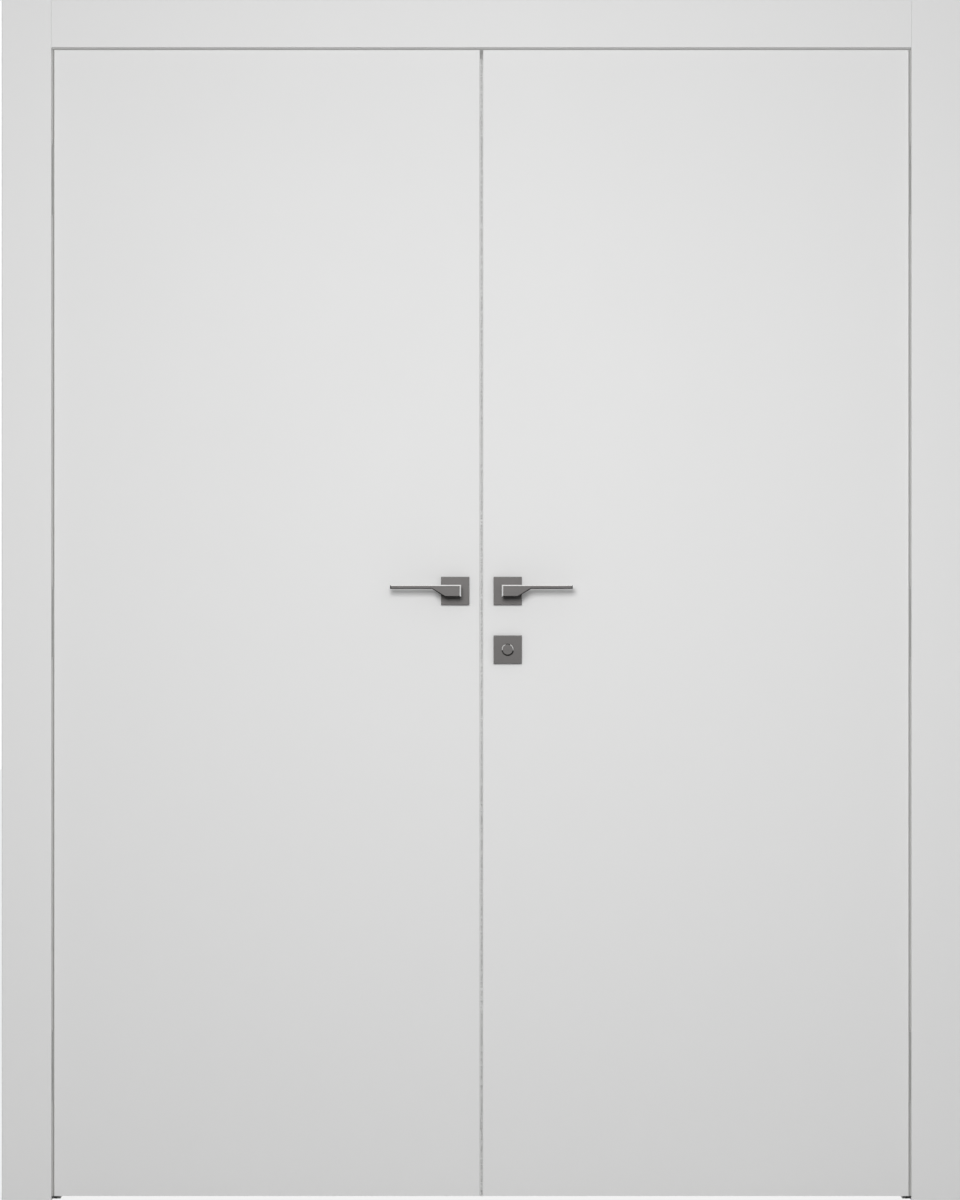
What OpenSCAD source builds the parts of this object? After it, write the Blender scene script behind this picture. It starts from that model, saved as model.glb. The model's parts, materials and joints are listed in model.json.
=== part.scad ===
// Pair of flush closet doors in a rebated frame with flat casings on both sides of the wall.
// Each leaf hangs on three concealed hinges and swings towards the room.
// The right leaf carries a mortise lock, the left leaf a strike and two flush bolts.
// Millimetres. +Z is up, +X is to the right, -Y faces the room.
// The origin lies on the floor, midway across the width and the depth of the whole unit.
// The rest pose is shut, with latch, dead bolt and flush bolts drawn in.

/* [Opening] */
// Clear width between the faces of the side jambs
opening_w = 1524; // [1200:1:1830]
// Height of each leaf
leaf_h = 2032; // [1900:1:2400]
// Gap between the floor and the leaves
floor_gap = 7; // [5:0.5:20]
// Gap between the leaves and the head jamb
head_gap = 4; // [3:0.5:6]
// Gap between each leaf and its side jamb
side_gap = 4; // [3:0.5:5]
// Gap between the two leaves
meeting_gap = 5; // [4:0.5:8]

/* [Leaves] */
// Thickness of a leaf
leaf_t = 40; // [38:0.5:50]
// Radius on the long edges of a leaf
leaf_arris = 1.5; // [0.5:0.25:3]

/* [Frame] */
// Depth of the jambs, equal to the wall
wall_d = 116; // [105:1:180]
// Thickness of the jambs
jamb_t = 32; // [28:1:45]
// Height of the stop above the jamb face
stop_h = 14; // [10:1:20]
// Space between the back of a leaf and the stop
stop_gap = 4; // [3:0.5:6]
// Width of the side casings
casing_w = 88; // [60:1:120]
// Width of the head casings
head_casing_w = 85; // [60:1:120]
// Thickness of the casings
casing_t = 10; // [8:0.5:20]
// Radius on the front edges of the casings
casing_arris = 1.5; // [0.5:0.25:4]
// Thickness of the casing tongue
tongue_t = 5; // [4:0.5:7]
// Length of the casing tongue
tongue_l = 20; // [12:1:30]
// Width of the seal groove
groove_w = 3.5; // [3:0.25:5]
// Depth of the seal groove
groove_d = 6; // [4:0.5:9]
// Depth of the lip seals behind the room face of the leaves
lip_in = 3; // [2.5:0.1:3.5]
// Thickness of the lip seals
lip_t = 1.8; // [1.4:0.1:2]
// Depth of the lip seal grooves
lip_root = 5; // [4:0.5:7]
// Space between a lip seal and the leaf it closes on
lip_gap = 0.5; // [0.4:0.05:1]
// Radius of the fixing holes through the side jambs
fix_r = 3; // [2.5:0.25:4]
// Distance from either end of the opening to the nearest fixing holes
fix_end = 300; // [200:5:400]

/* [Levers] */
// Height of the lever axis above the floor
lever_z = 1080; // [950:1:1150]
// Distance from the meeting edge to the lever axis
backset = 44; // [40:1:60]
// Side of the square rosettes
rose_s = 50; // [46:1:56]
// Thickness of the rosettes
rose_t = 9; // [8:0.5:12]
// Reach of the lever from its axis to the tip
lever_l = 115; // [100:1:140]
// Height of the lever block over the axis
block_h = 21; // [19:0.5:24]
// Height of the lever bar
bar_h = 7; // [6:0.5:9]
// Distance from the axis to the end of the block's underside
heel_l = 18; // [14:0.5:24]
// Distance from the axis to the start of the bar's underside
taper_l = 41; // [34:1:55]
// Depth of the lever blade
blade_d = 20; // [14:0.5:24]
// Distance from the leaf face to the lever front
lever_reach = 55; // [48:1:65]
// Side of the square lever spindle
spindle_s = 8; // [7:0.5:9]
// Bevel along the edges of the levers
lever_bevel = 1.5; // [0.5:0.1:1.6]
// Bevel along the front edges of the rosettes
rose_bevel = 0.5; // [0.3:0.1:1]
// Step from the bevel of the lever block to its neck
neck_step = 0.25; // [0.1:0.05:1]
// Radius of the lever journals in their rosettes
journal_r = 8.5; // [8:0.1:8.7]
// Radius of the turn journals in their rosettes
turn_journal_r = 7; // [6:0.25:8]

/* [Turn] */
// Drop from the lever axis to the turn axis
turn_drop = 104; // [95:1:115]
// Diameter of the round turn
turn_d = 21; // [19:0.5:28]
// Height of the turn above its rosette
turn_h = 7; // [5:0.5:14]
// Side of the square tail of the turn
tail_s = 5; // [4:0.5:6]

/* [Lock] */
// Width of the lock case across the leaf
case_t = 16; // [16:0.5:18]
// Wall of the lock case
case_wall = 1.5; // [1:0.25:2]
// Space in the case behind the lever axis
case_back = 28; // [26:1:40]
// Width of the faceplates
plate_w = 22; // [20:0.5:24]
// Thickness of the faceplates
plate_t = 3; // [2.5:0.25:4]
// Height of the latch bolt
latch_h = 28; // [24:1:32]
// Height of the dead bolt
dead_h = 26; // [24:1:30]
// Thickness of the latch bolt and of the dead bolt
bolt_t = 12; // [11:0.5:12]
// Rise of the latch bolt centre over the lever axis
latch_rise = 12; // [11:0.5:14]
// Travel of the latch bolt
latch_travel = 11; // [9:0.5:12]
// Travel of the dead bolt
dead_travel = 12; // [10:0.5:13]

/* [Flush bolts] */
// Length of the flush bolt plates
flush_l = 190; // [170:1:240]
// Width of the flush bolt plates
flush_w = 18; // [16:0.5:20]
// Radius of the flush bolts
rod_r = 5; // [4:0.25:6]
// Distance from the meeting edge to the flush bolt axis
rod_in = 11; // [10:0.5:14]
// Travel of the flush bolts
flush_travel = 14; // [12:0.5:16]

/* [Hinges] */
// Distance from a leaf end to the nearest hinge centre
hinge_end = 230; // [150:1:300]
// Distance from the room face of a leaf to the virtual swing axis
axis_out = 8; // [7:0.25:9]
// Depth of the arm pivots behind the room face of a leaf
pivot_deep = 10.5; // [10.5:0.25:12]
// Distance of the arm pivots from the middle of the side gap
pivot_side = 10; // [9:0.25:11]
// Space beside the arm eyes in the hinge cups
cup_side = 0.45; // [0.3:0.05:2]
// Length of the hinge face plates
cup_l = 120; // [110:1:150]
// Length of the hinge cup bodies
cup_body_l = 72; // [70:1:80]
// Space behind the arms in the hinge cups
cup_back = 1.2; // [0.5:0.1:3]
// Wall of the hinge cups
cup_wall = 1.5; // [1:0.25:1.75]
// Thickness of the hinge face plates
cup_plate_t = 3.5; // [3:0.25:4.5]
// Height of each outer arm plate
outer_arm_h = 16; // [14:0.5:17]
// Height of the inner arm plate
inner_arm_h = 26; // [20:0.5:27]
// Width of the arms
arm_w = 6.4; // [5.5:0.1:6.6]
// Radius of the arm eyes
eye_r = 3.8; // [3.5:0.1:4]
// Radius of the hinge pins
pin_r = 2.2; // [1.8:0.1:2.4]
// Largest swing of a leaf
swing_max = 105; // [90:1:110]

/* [Fits] */
// Clearance of pieces that are let into another piece
fit = 0.2; // [0.1:0.05:0.3]
// Radial clearance of pieces that turn or slide in a bore
run = 0.08; // [0.05:0.01:0.1]
// Space between pieces that move past each other
pass = 0.4; // [0.3:0.05:0.6]
// Radius of a screw head
head_r = 4; // [3.5:0.1:4.4]
// Radius of a screw shank
shank_r = 2; // [1.75:0.05:2.25]
// Length of a screw
screw_l = 25; // [20:1:30]

/* [Hidden] */
$fn = 64;
leaf_w = (opening_w - meeting_gap) / 2 - side_gap;
leaf_mid = leaf_t / 2;
leaf_top = floor_gap + leaf_h;
opening_h = leaf_top + head_gap;
jamb_h = opening_h + jamb_t;
unit_h = opening_h + head_casing_w;
stop_y = leaf_t + stop_gap;
bulb_r = (stop_gap - pass) / 2;
front_most = max(casing_t, lever_reach);
rear_most = max(wall_d + casing_t, leaf_t + lever_reach);
depth_shift = (front_most - rear_most) / 2;
fix_zs = [fix_end, opening_h / 2, opening_h - fix_end];
fix_ys = [stop_y + 16, wall_d - tongue_l - 12];

// Hinge centres along the leaf
hinge_zs = [floor_gap + hinge_end, floor_gap + leaf_h / 2, leaf_top - hinge_end];
// Runs of lip seal between the hinges, each from its lower to its upper end
lip_break = cup_l / 2 + 2;
lip_spans = [
    [floor_gap, hinge_zs[0] - lip_break],
    [hinge_zs[0] + lip_break, hinge_zs[1] - lip_break],
    [hinge_zs[1] + lip_break, hinge_zs[2] - lip_break],
    [hinge_zs[2] + lip_break, leaf_top]
];
// Plan points of the hinge, measured from the jamb face and from the room face of the leaf
mid_u = side_gap / 2;
pivot_v = pivot_deep;
crown_v = 2 * pivot_deep + axis_out;
frame_pivot = [mid_u - pivot_side, pivot_v];
leaf_pivot = [mid_u + pivot_side, pivot_v];
crown = [mid_u, crown_v];
// The knee lies so that the arm leaves the cup square on at the largest swing
knee_r = pivot_side + 1.9;
knee_turn = swing_max - 90;
knee = [frame_pivot.x - knee_r * sin(knee_turn), frame_pivot.y + knee_r * cos(knee_turn)];
arms_h = inner_arm_h + 2 * outer_arm_h + 2 * pass;
cavity_h = arms_h + 2 * pass;
cavity_w = crown_v - pivot_v + 2 * (eye_r + cup_side);
cavity_d = arm_w / 2 - knee.x + cup_back;
cup_v = (pivot_v + crown_v) / 2;
cup_w = cavity_w + 2 * cup_wall;
cup_d = cavity_d + cup_wall;
pin_seat = (cup_body_l - cavity_h) / 2 - 1.5;
pin_l = cavity_h + 2 * pin_seat;
cup_screw_z = (cup_body_l / 2 + cup_l / 2) / 2 - 0.5;
cup_screw_v = cup_w / 2 - head_r - 3.5;

// Lock heights and depths, depths measured from the meeting edge
turn_z = lever_z - turn_drop;
latch_z = lever_z + latch_rise;
sunk = 0.5;
case_w = backset + case_back - plate_t;
case_z0 = turn_z - dead_h / 2 - 12;
case_z1 = latch_z + latch_h / 2 + 14;
case_h = case_z1 - case_z0;
face_h = case_h + 64;
face_z = (case_z0 + case_z1) / 2;
hub_r = 11;
hub_journal_r = 9;
nose_w = 5;
nose_r = latch_rise + 2;
latch_l = backset - hub_r - 4 - latch_travel / 2 + 1.5;
tail_z0 = latch_rise + 3;
tail_z1 = latch_rise + 8;
lug_x = backset + nose_w / 2 + 0.6 + latch_travel;
lug_w = 4;
crank_r = dead_travel / (2 * sin(45));
crank_pin_r = 2;
crank_disc_r = crank_r + crank_pin_r + 1;
crank_journal_r = 6;
dead_l = backset - crank_disc_r - 3.5;
dead_tail_l = backset + crank_r * sin(45) + 9;
layer_v = leaf_mid - case_t / 2 + case_wall;
crank_v0 = layer_v + pass;
crank_v1 = leaf_mid - 1.2;
dead_v0 = crank_v1 + pass;
dead_v1 = dead_v0 + 4;
base_s = rose_s - 8;
base_t = rose_t - 3;
spindle_l = leaf_t + 2 * (lever_reach - 20);
rose_screw = base_s / 2 - 5;
rose_screw_l = 9;

// Flush bolts
thumb_z = leaf_top - flush_l + 62;
thumb_l = 22;
rod_z0 = thumb_z - thumb_l / 2 - 4;
rod_l = leaf_top - 1 - rod_z0;
slot_w = flush_w - 9;
return_l = rod_in + 17;

// Piece to draw

// Placing

// Moves the leaf's room face from y = 0 to its place in the unit
module placed() {
    translate([0, depth_shift, 0])
        children();
}

module right_hand() {
    mirror([1, 0, 0])
        children();
}

// X runs from the left jamb face into the opening
module at_jamb() {
    translate([-opening_w / 2, 0, 0])
        children();
}

// X runs from the meeting edge into the left leaf
module at_meeting_edge() {
    translate([-meeting_gap / 2, 0, 0])
        mirror([1, 0, 0])
            children();
}

// Swaps the two faces of a leaf
module rear_face() {
    translate([0, leaf_t, 0])
        mirror([0, 1, 0])
            children();
}

// Swaps the two ends of a leaf
module lower_end() {
    translate([0, 0, floor_gap + leaf_top])
        mirror([0, 0, 1])
            children();
}

module at_hinges() {
    for (z = hinge_zs)
        translate([0, 0, z])
            children();
}

// Turns a jamb-side hinge piece into the leaf-side one
module across_gap() {
    translate([side_gap, 0, 0])
        mirror([1, 0, 0])
            children();
}

// Runs a plan profile up the left side
module side_run(length) {
    at_jamb()
        linear_extrude(length)
            children();
}

// Runs the same profile across the head, its X turned to point down
module head_run(length) {
    translate([-length / 2, 0, opening_h])
        rotate([0, 90, 0])
            linear_extrude(length)
                children();
}

// Extrudes a drawing in (x, z) towards the room
module to_room(length) {
    rotate([90, 0, 0])
        linear_extrude(length)
            children();
}

// Extrudes a drawing in (z, y) towards -X
module into_jamb(length) {
    rotate([0, -90, 0])
        linear_extrude(length)
            children();
}

// Extrudes a drawing in (z, y) towards +X
module into_leaf(length) {
    mirror([1, 0, 0])
        into_jamb(length)
            children();
}

// Round bar from a point towards the room
module round_to_room(length, radius) {
    rotate([90, 0, 0])
        cylinder(h = length, r = radius);
}

// Round bar from a point into the leaf edge
module round_into_leaf(length, radius) {
    rotate([0, 90, 0])
        cylinder(h = length, r = radius);
}

// Shapes

// Rectangle with all corners rounded
module eased_rect(w, h, r) {
    translate([r, 0])
        square([w - 2 * r, h]);
    translate([0, r])
        square([w, h - 2 * r]);
    for (x = [r, w - r], y = [r, h - r])
        translate([x, y])
            circle(r);
}

// Strip with round ends, long in its first direction, centred
module slot_shape(length, width) {
    square([length - width, width], center = true);
    for (s = [-1, 1])
        translate([s * (length - width) / 2, 0])
            circle(width / 2);
}

// Bar with round ends between two points
module bar_shape(p, q, width) {
    span = norm(q - p);
    translate(p)
        rotate(atan2(q.y - p.y, q.x - p.x))
            translate([0, -width / 2])
                square([span, width]);
    for (c = [p, q])
        translate(c)
            circle(width / 2);
}

// Flat plate over a convex outline drawn anticlockwise, its edges bevelled at the levels given
module bevelled_plate(points, height, levels, bevel) {
    count = len(points);
    side = bevel * sqrt(2);
    difference() {
        linear_extrude(height)
            polygon(points);
        for (i = [0:count - 1], z = levels) {
            p = points[i];
            q = points[(i + 1) % count];
            translate([p.x, p.y, z])
                rotate(atan2(q.y - p.y, q.x - p.x))
                    rotate([45, 0, 0])
                        translate([-bevel, -side / 2, -side / 2])
                            cube([norm(q - p) + 2 * bevel, side, side]);
        }
    }
}

// Countersunk screw pointing down, its head flush with z = 0
module screw(length, grow) {
    rotate_extrude()
        polygon([
            [0, -length - grow],
            [shank_r + grow, -length - grow],
            [shank_r + grow, -(head_r - shank_r)],
            [head_r + grow, 0],
            [head_r + grow, grow],
            [0, grow]
        ]);
}

module screw_into_jamb(length, grow) {
    rotate([0, 90, 0])
        screw(length, grow);
}

module screw_into_leaf(length, grow) {
    rotate([0, -90, 0])
        screw(length, grow);
}

module screw_from_room(length, grow) {
    rotate([90, 0, 0])
        screw(length, grow);
}

// Frame profiles, X from the jamb face into the opening and Y from the room face of the leaf

module jamb_profile() {
    difference() {
        translate([-jamb_t, 0])
            square([jamb_t, wall_d]);
        for (y = [-1, wall_d - tongue_l])
            translate([-jamb_t - 1, y])
                square([tongue_t + 1, tongue_l + 1]);
    }
}

module stop_profile() {
    difference() {
        translate([-1, stop_y])
            square([stop_h + 1, wall_d - stop_y]);
        translate([stop_h / 2 - groove_w / 2, stop_y - 1])
            square([groove_w, groove_d + 1]);
        translate([-2, stop_y - 1])
            square([2, wall_d]);
    }
}

module seal_profile() {
    translate([stop_h / 2 - groove_w / 2 + fit, stop_y - bulb_r])
        square([groove_w - 2 * fit, groove_d + bulb_r - fit]);
    translate([stop_h / 2, stop_y - bulb_r])
        circle(bulb_r);
}

// Lip seal that closes the gap to a leaf, and the groove that holds its stem
module lip_profile(gap) {
    tip = gap - lip_gap - lip_t / 2;
    translate([-lip_root + fit, lip_in - lip_t / 2])
        square([lip_root - fit + tip, lip_t]);
    translate([tip, lip_in])
        circle(lip_t / 2);
}

module lip_groove() {
    translate([-lip_root, lip_in - lip_t / 2 - fit])
        square([lip_root + 1, lip_t + 2 * fit]);
}

// Board with rounded front edges, its inner edge at x = 0 and its back at y = 0
module casing_board(w) {
    r = casing_arris;
    translate([-w, -(casing_t - r)])
        square([w, casing_t - r]);
    translate([-w + r, -casing_t])
        square([w - 2 * r, casing_t]);
    for (x = [-w + r, -r])
        translate([x, -casing_t + r])
            circle(r);
}

module front_casing_profile(w) {
    casing_board(w);
    translate([-jamb_t, -1])
        square([tongue_t - fit, tongue_l + 1 - fit]);
}

module rear_casing_profile(w) {
    translate([stop_h, wall_d])
        mirror([0, 1])
            casing_board(w);
    translate([-jamb_t, wall_d - tongue_l + fit])
        square([tongue_t - fit, tongue_l - fit + 1]);
}

// Hinge shapes, drawn at the jamb with z measured from the hinge centre

module cup_blank(grow) {
    translate([grow > 0 ? 1 : 0, cup_v, 0])
        into_jamb(cup_plate_t + (grow > 0 ? 1 + grow : 0))
            slot_shape(cup_l + 2 * grow, cup_w + 2 * grow);
    translate([0, cup_v, 0])
        into_jamb(cup_d + grow)
            square([cup_body_l + 2 * grow, cup_w + 2 * grow], center = true);
}

module cup_screw_spots() {
    for (z = [-cup_screw_z, cup_screw_z], v = [-cup_screw_v, cup_screw_v])
        translate([0, cup_v + v, z])
            children();
}

module hinge_pin(radius) {
    translate([frame_pivot.x, frame_pivot.y, -pin_l / 2])
        cylinder(h = pin_l, r = radius);
}

module hinge_cup() {
    difference() {
        cup_blank(0);
        translate([-cavity_d, cup_v - cavity_w / 2, -cavity_h / 2])
            cube([cavity_d + 1, cavity_w, cavity_h]);
        hinge_pin(pin_r + run);
        cup_screw_spots()
            screw_into_jamb(screw_l, fit);
    }
}

module cup_pocket() {
    cup_blank(fit);
    cup_screw_spots()
        screw_into_jamb(screw_l, fit);
}

module arm_shape() {
    difference() {
        union() {
            bar_shape(frame_pivot, knee, arm_w);
            bar_shape(knee, crown, arm_w);
            translate(frame_pivot)
                circle(eye_r);
            translate(crown)
                circle(eye_r);
        }
        translate(frame_pivot)
            circle(pin_r + run);
        translate(crown)
            circle(pin_r + run);
    }
}

module outer_arms() {
    for (z = [-arms_h / 2, arms_h / 2 - outer_arm_h])
        translate([0, 0, z])
            linear_extrude(outer_arm_h)
                arm_shape();
    translate([crown.x, crown.y, -arms_h / 2])
        cylinder(h = outer_arm_h, r = pin_r + run);
    translate([crown.x, crown.y, arms_h / 2 - outer_arm_h])
        cylinder(h = outer_arm_h, r = pin_r + run);
    translate([crown.x, crown.y, -arms_h / 2])
        cylinder(h = arms_h, r = pin_r);
}

module inner_arm() {
    translate([0, 0, -inner_arm_h / 2])
        linear_extrude(inner_arm_h)
            arm_shape();
}

// Leaf shapes, X from the meeting edge into the leaf

module leaf_blank() {
    translate([-opening_w / 2 + side_gap, 0, floor_gap])
        linear_extrude(leaf_h)
            eased_rect(leaf_w, leaf_t, leaf_arris);
}

module leaf_with_hinge_pockets() {
    difference() {
        leaf_blank();
        at_jamb()
            at_hinges()
                across_gap()
                    cup_pocket();
    }
}

// Holes through the leaf for the lever spindle and for the rosette screws
module lever_holes() {
    translate([backset, leaf_t + 1, lever_z])
        round_to_room(leaf_t + 2, spindle_s);
    rose_screws(lever_z, fit);
}

// Screw places on both faces around one axis
module rose_screws(z, grow) {
    for (s = [-1, 1])
        translate([backset + s * rose_screw, -base_t + 0.5, z + s * rose_screw])
            screw_from_room(rose_screw_l + base_t, grow);
    rear_face()
        for (s = [-1, 1])
            translate([backset + s * rose_screw, -base_t + 0.5, z + s * rose_screw])
                screw_from_room(rose_screw_l + base_t, grow);
}

// Plate with round ends let into the meeting edge
module edge_plate(length, width, z, grow) {
    translate([grow > 0 ? -1 : 0, leaf_mid, z])
        into_leaf(plate_t + (grow > 0 ? 1 + grow : 0))
            slot_shape(length + 2 * grow, width + 2 * grow);
}

// Upright pocket from the meeting edge, centred in the leaf's thickness
module edge_pocket(x0, x1, width, z0, z1) {
    translate([x0, leaf_mid - width / 2, z0])
        cube([x1 - x0, width, z1 - z0]);
}

module face_screw_spots() {
    for (s = [-1, 1])
        translate([0, leaf_mid, face_z + s * (face_h / 2 - plate_w / 2 - 4)])
            children();
}

module latch_mouth(x0, x1) {
    edge_pocket(x0, x1, bolt_t + 2 * pass, latch_z - latch_h / 2 - pass, latch_z + latch_h / 2 + pass);
}

module dead_mouth(x0, x1) {
    edge_pocket(x0, x1, bolt_t + 2 * pass, turn_z - dead_h / 2 - pass, turn_z + dead_h / 2 + pass);
}

// Flush bolt shapes at the top end of the leaf

module flush_blank(grow) {
    over = grow > 0 ? 1 : 0;
    translate([-over, leaf_mid - flush_w / 2 - grow, leaf_top - flush_l + flush_w / 2])
        cube([plate_t + over + grow, flush_w + 2 * grow, flush_l - flush_w / 2 + over]);
    translate([-over, leaf_mid, leaf_top - flush_l + flush_w / 2])
        rotate([0, 90, 0])
            cylinder(h = plate_t + over + grow, r = flush_w / 2 + grow);
    translate([-over, leaf_mid - flush_w / 2 - grow, leaf_top - plate_t - grow])
        cube([return_l + over + grow, flush_w + 2 * grow, plate_t + grow + over]);
}

module flush_screws(grow) {
    translate([0, leaf_mid, leaf_top - flush_l + flush_w / 2 + 1])
        screw_into_leaf(screw_l, grow);
    translate([return_l - head_r - 2.5, leaf_mid, leaf_top])
        screw(screw_l, grow);
}

module flush_pocket() {
    flush_blank(fit);
    edge_pocket(
        plate_t, rod_in + rod_r + 1, 2 * rod_r + 2,
        rod_z0 - 2, leaf_top - plate_t
    );
    flush_screws(fit);
}

module flush_plate() {
    difference() {
        flush_blank(0);
        translate([-1, leaf_mid, thumb_z + flush_travel / 2])
            into_leaf(plate_t + 2)
                slot_shape(thumb_l + flush_travel + 2 * pass, slot_w);
        translate([rod_in, leaf_mid, leaf_top - plate_t - 1])
            cylinder(h = plate_t + 2, r = rod_r + run);
        flush_screws(fit);
    }
}

module flush_bolt() {
    translate([rod_in, leaf_mid, rod_z0])
        cylinder(h = rod_l, r = rod_r);
    translate([-1, leaf_mid, thumb_z])
        into_leaf(rod_in + 1)
            slot_shape(thumb_l, slot_w - 2 * pass);
}

module keeper_blank(grow) {
    over = grow > 0 ? 1 : 0;
    translate([rod_in - 20 - grow, leaf_mid - 11 - grow, opening_h - over])
        cube([40 + 2 * grow, 22 + 2 * grow, plate_t + over + grow]);
}

module keeper_screws(grow) {
    for (s = [-1, 1])
        translate([rod_in + s * 14, leaf_mid, opening_h])
            mirror([0, 0, 1])
                screw(screw_l, grow);
}

// Lever and turn furniture, drawn on the room face with the axis at x = 0 and z = 0

module rosette(bore_r) {
    half = rose_s / 2;
    difference() {
        rotate([90, 0, 0])
            bevelled_plate(
                [[-half, -half], [half, -half], [half, half], [-half, half]],
                rose_t, [rose_t], rose_bevel
            );
        translate([0, 1, 0])
            to_room(base_t + 1 + fit)
                square(base_s + 2 * fit, center = true);
        round_to_room(rose_t + 1, bore_r);
    }
}

module rosette_base(bore_r) {
    difference() {
        to_room(base_t)
            square(base_s, center = true);
        translate([0, 1, 0])
            round_to_room(base_t + 2, bore_r);
        for (s = [-1, 1])
            translate([s * rose_screw, -base_t + 0.5, s * rose_screw])
                screw_from_room(rose_screw_l + base_t, fit);
    }
}

// Block of the lever, tapered under its root, and the bar that runs out of it, drawn in (x, z)
module lever_blade() {
    half = block_h / 2;
    bar_z = half - bar_h;
    taper_end = heel_l + (taper_l - heel_l) * block_h / (block_h - bar_h);
    rotate([90, 0, 0]) {
        bevelled_plate(
            [[-half, -half], [heel_l, -half], [taper_end, half], [-half, half]],
            blade_d, [0, blade_d], lever_bevel
        );
        bevelled_plate(
            [[heel_l, bar_z], [lever_l, bar_z], [lever_l, half], [heel_l, half]],
            blade_d, [0, blade_d], lever_bevel
        );
    }
}

module lever() {
    neck_end = rose_t + pass;
    difference() {
        union() {
            translate([0, -lever_reach + blade_d, 0])
                lever_blade();
            translate([0, -neck_end, 0])
                to_room(lever_reach - blade_d - neck_end + lever_bevel + 1)
                    square(block_h - 2 * (lever_bevel + neck_step), center = true);
            translate([0, -0.5, 0])
                round_to_room(neck_end, journal_r);
        }
        translate([0, 1, 0])
            to_room(lever_reach - 18)
                square(spindle_s + 2 * run, center = true);
    }
}

module spindle(side, length) {
    translate([0, leaf_mid + length / 2, 0])
        to_room(length)
            square(side, center = true);
}

// Round turn with a rounded rim and a square tail
module turn(tail_l) {
    rim = 2;
    rotate([90, 0, 0])
        rotate_extrude()
            union() {
                translate([0, rose_t + pass])
                    square([turn_d / 2, turn_h - rim]);
                translate([0, rose_t + pass])
                    square([turn_d / 2 - rim, turn_h]);
                translate([turn_d / 2 - rim, rose_t + pass + turn_h - rim])
                    circle(rim);
                translate([0, 1])
                    square([turn_journal_r, rose_t]);
            }
    translate([0, tail_l - 1, 0])
        to_room(tail_l)
            square(tail_s, center = true);
}

// Pieces of the frame

module side_jamb() {
    color("#e2e2e0")
        difference() {
            union() {
                side_run(jamb_h)
                    jamb_profile();
                side_run(opening_h)
                    stop_profile();
            }
            at_jamb()
                at_hinges()
                    cup_pocket();
            for (span = lip_spans)
                translate([0, 0, span[0] - fit])
                    side_run(span[1] - span[0] + 2 * fit)
                        lip_groove();
            at_jamb()
                for (y = fix_ys, z = fix_zs)
                    translate([-jamb_t - 1, y, z])
                        rotate([0, 90, 0])
                            cylinder(h = jamb_t + stop_h + 2, r = fix_r);
        }
}

module head_jamb() {
    color("#e2e2e0")
        difference() {
            union() {
                head_run(opening_w)
                    jamb_profile();
                head_run(opening_w - 2 * stop_h)
                    stop_profile();
            }
            head_run(opening_w + 2)
                lip_groove();
            at_meeting_edge() {
                keeper_blank(fit);
                keeper_screws(fit);
                translate([rod_in, leaf_mid, opening_h])
                    cylinder(h = plate_t + flush_travel, r = rod_r + 2);
            }
        }
}

module side_seal() {
    color("#b9b9b7") {
        side_run(opening_h - stop_h)
            seal_profile();
        for (span = lip_spans)
            translate([0, 0, span[0]])
                side_run(span[1] - span[0])
                    lip_profile(side_gap);
    }
}

module head_seal() {
    color("#b9b9b7") {
        head_run(opening_w - 2 * stop_h)
            seal_profile();
        head_run(opening_w - 2 * fit)
            lip_profile(head_gap);
    }
}

module front_side_casing() {
    color("#e6e6e4")
        side_run(unit_h)
            front_casing_profile(casing_w);
}

module front_head_casing() {
    color("#e6e6e4")
        head_run(opening_w)
            front_casing_profile(head_casing_w);
}

module rear_side_casing() {
    color("#e6e6e4")
        side_run(unit_h - stop_h)
            rear_casing_profile(casing_w);
}

module rear_head_casing() {
    color("#e6e6e4")
        head_run(opening_w - 2 * stop_h)
            rear_casing_profile(head_casing_w);
}

module frame_cups() {
    color("#a8a8aa")
        at_jamb()
            at_hinges()
                hinge_cup();
}

module frame_hinge_pins() {
    color("#c4c4c6") {
        at_jamb()
            at_hinges()
                hinge_pin(pin_r);
        right_hand()
            at_jamb()
                at_hinges()
                    hinge_pin(pin_r);
    }
}

module frame_screws() {
    color("#c4c4c6") {
        at_jamb()
            at_hinges()
                cup_screw_spots()
                    screw_into_jamb(screw_l, 0);
        right_hand()
            at_jamb()
                at_hinges()
                    cup_screw_spots()
                        screw_into_jamb(screw_l, 0);
        at_meeting_edge()
            keeper_screws(0);
    }
}

module bolt_keeper() {
    color("#a8a8aa")
        at_meeting_edge()
            difference() {
                keeper_blank(0);
                translate([rod_in, leaf_mid, opening_h - 1])
                    cylinder(h = plate_t + 2, r = rod_r + pass);
                keeper_screws(fit);
            }
}

module frame_arms() {
    color("#8f8f92")
        at_jamb()
            at_hinges()
                outer_arms();
}

module leaf_arms() {
    color("#8f8f92")
        at_jamb()
            at_hinges()
                across_gap()
                    inner_arm();
}

// Pieces of both leaves

module leaf_cups() {
    color("#a8a8aa")
        at_jamb()
            at_hinges()
                across_gap()
                    hinge_cup();
}

module leaf_hinge_pins() {
    color("#c4c4c6")
        at_jamb()
            at_hinges()
                across_gap()
                    hinge_pin(pin_r);
}

module leaf_hinge_screws() {
    at_jamb()
        at_hinges()
            across_gap()
                cup_screw_spots()
                    screw_into_jamb(screw_l, 0);
}

module lever_rosette() {
    color("#787574")
        at_meeting_edge()
            translate([backset, 0, lever_z])
                rosette(journal_r + run);
}

module rear_lever_rosette() {
    rear_face()
        lever_rosette();
}

module bases_at(z, bore_r) {
    at_meeting_edge() {
        translate([backset, 0, z])
            rosette_base(bore_r);
        rear_face()
            translate([backset, 0, z])
                rosette_base(bore_r);
    }
}

module front_lever() {
    color("#787574")
        at_meeting_edge()
            translate([backset, 0, lever_z])
                lever();
}

module rear_lever() {
    rear_face()
        front_lever();
}

module lever_spindle() {
    color("#c4c4c6")
        at_meeting_edge()
            translate([backset, 0, lever_z])
                spindle(spindle_s, spindle_l);
}

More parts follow.
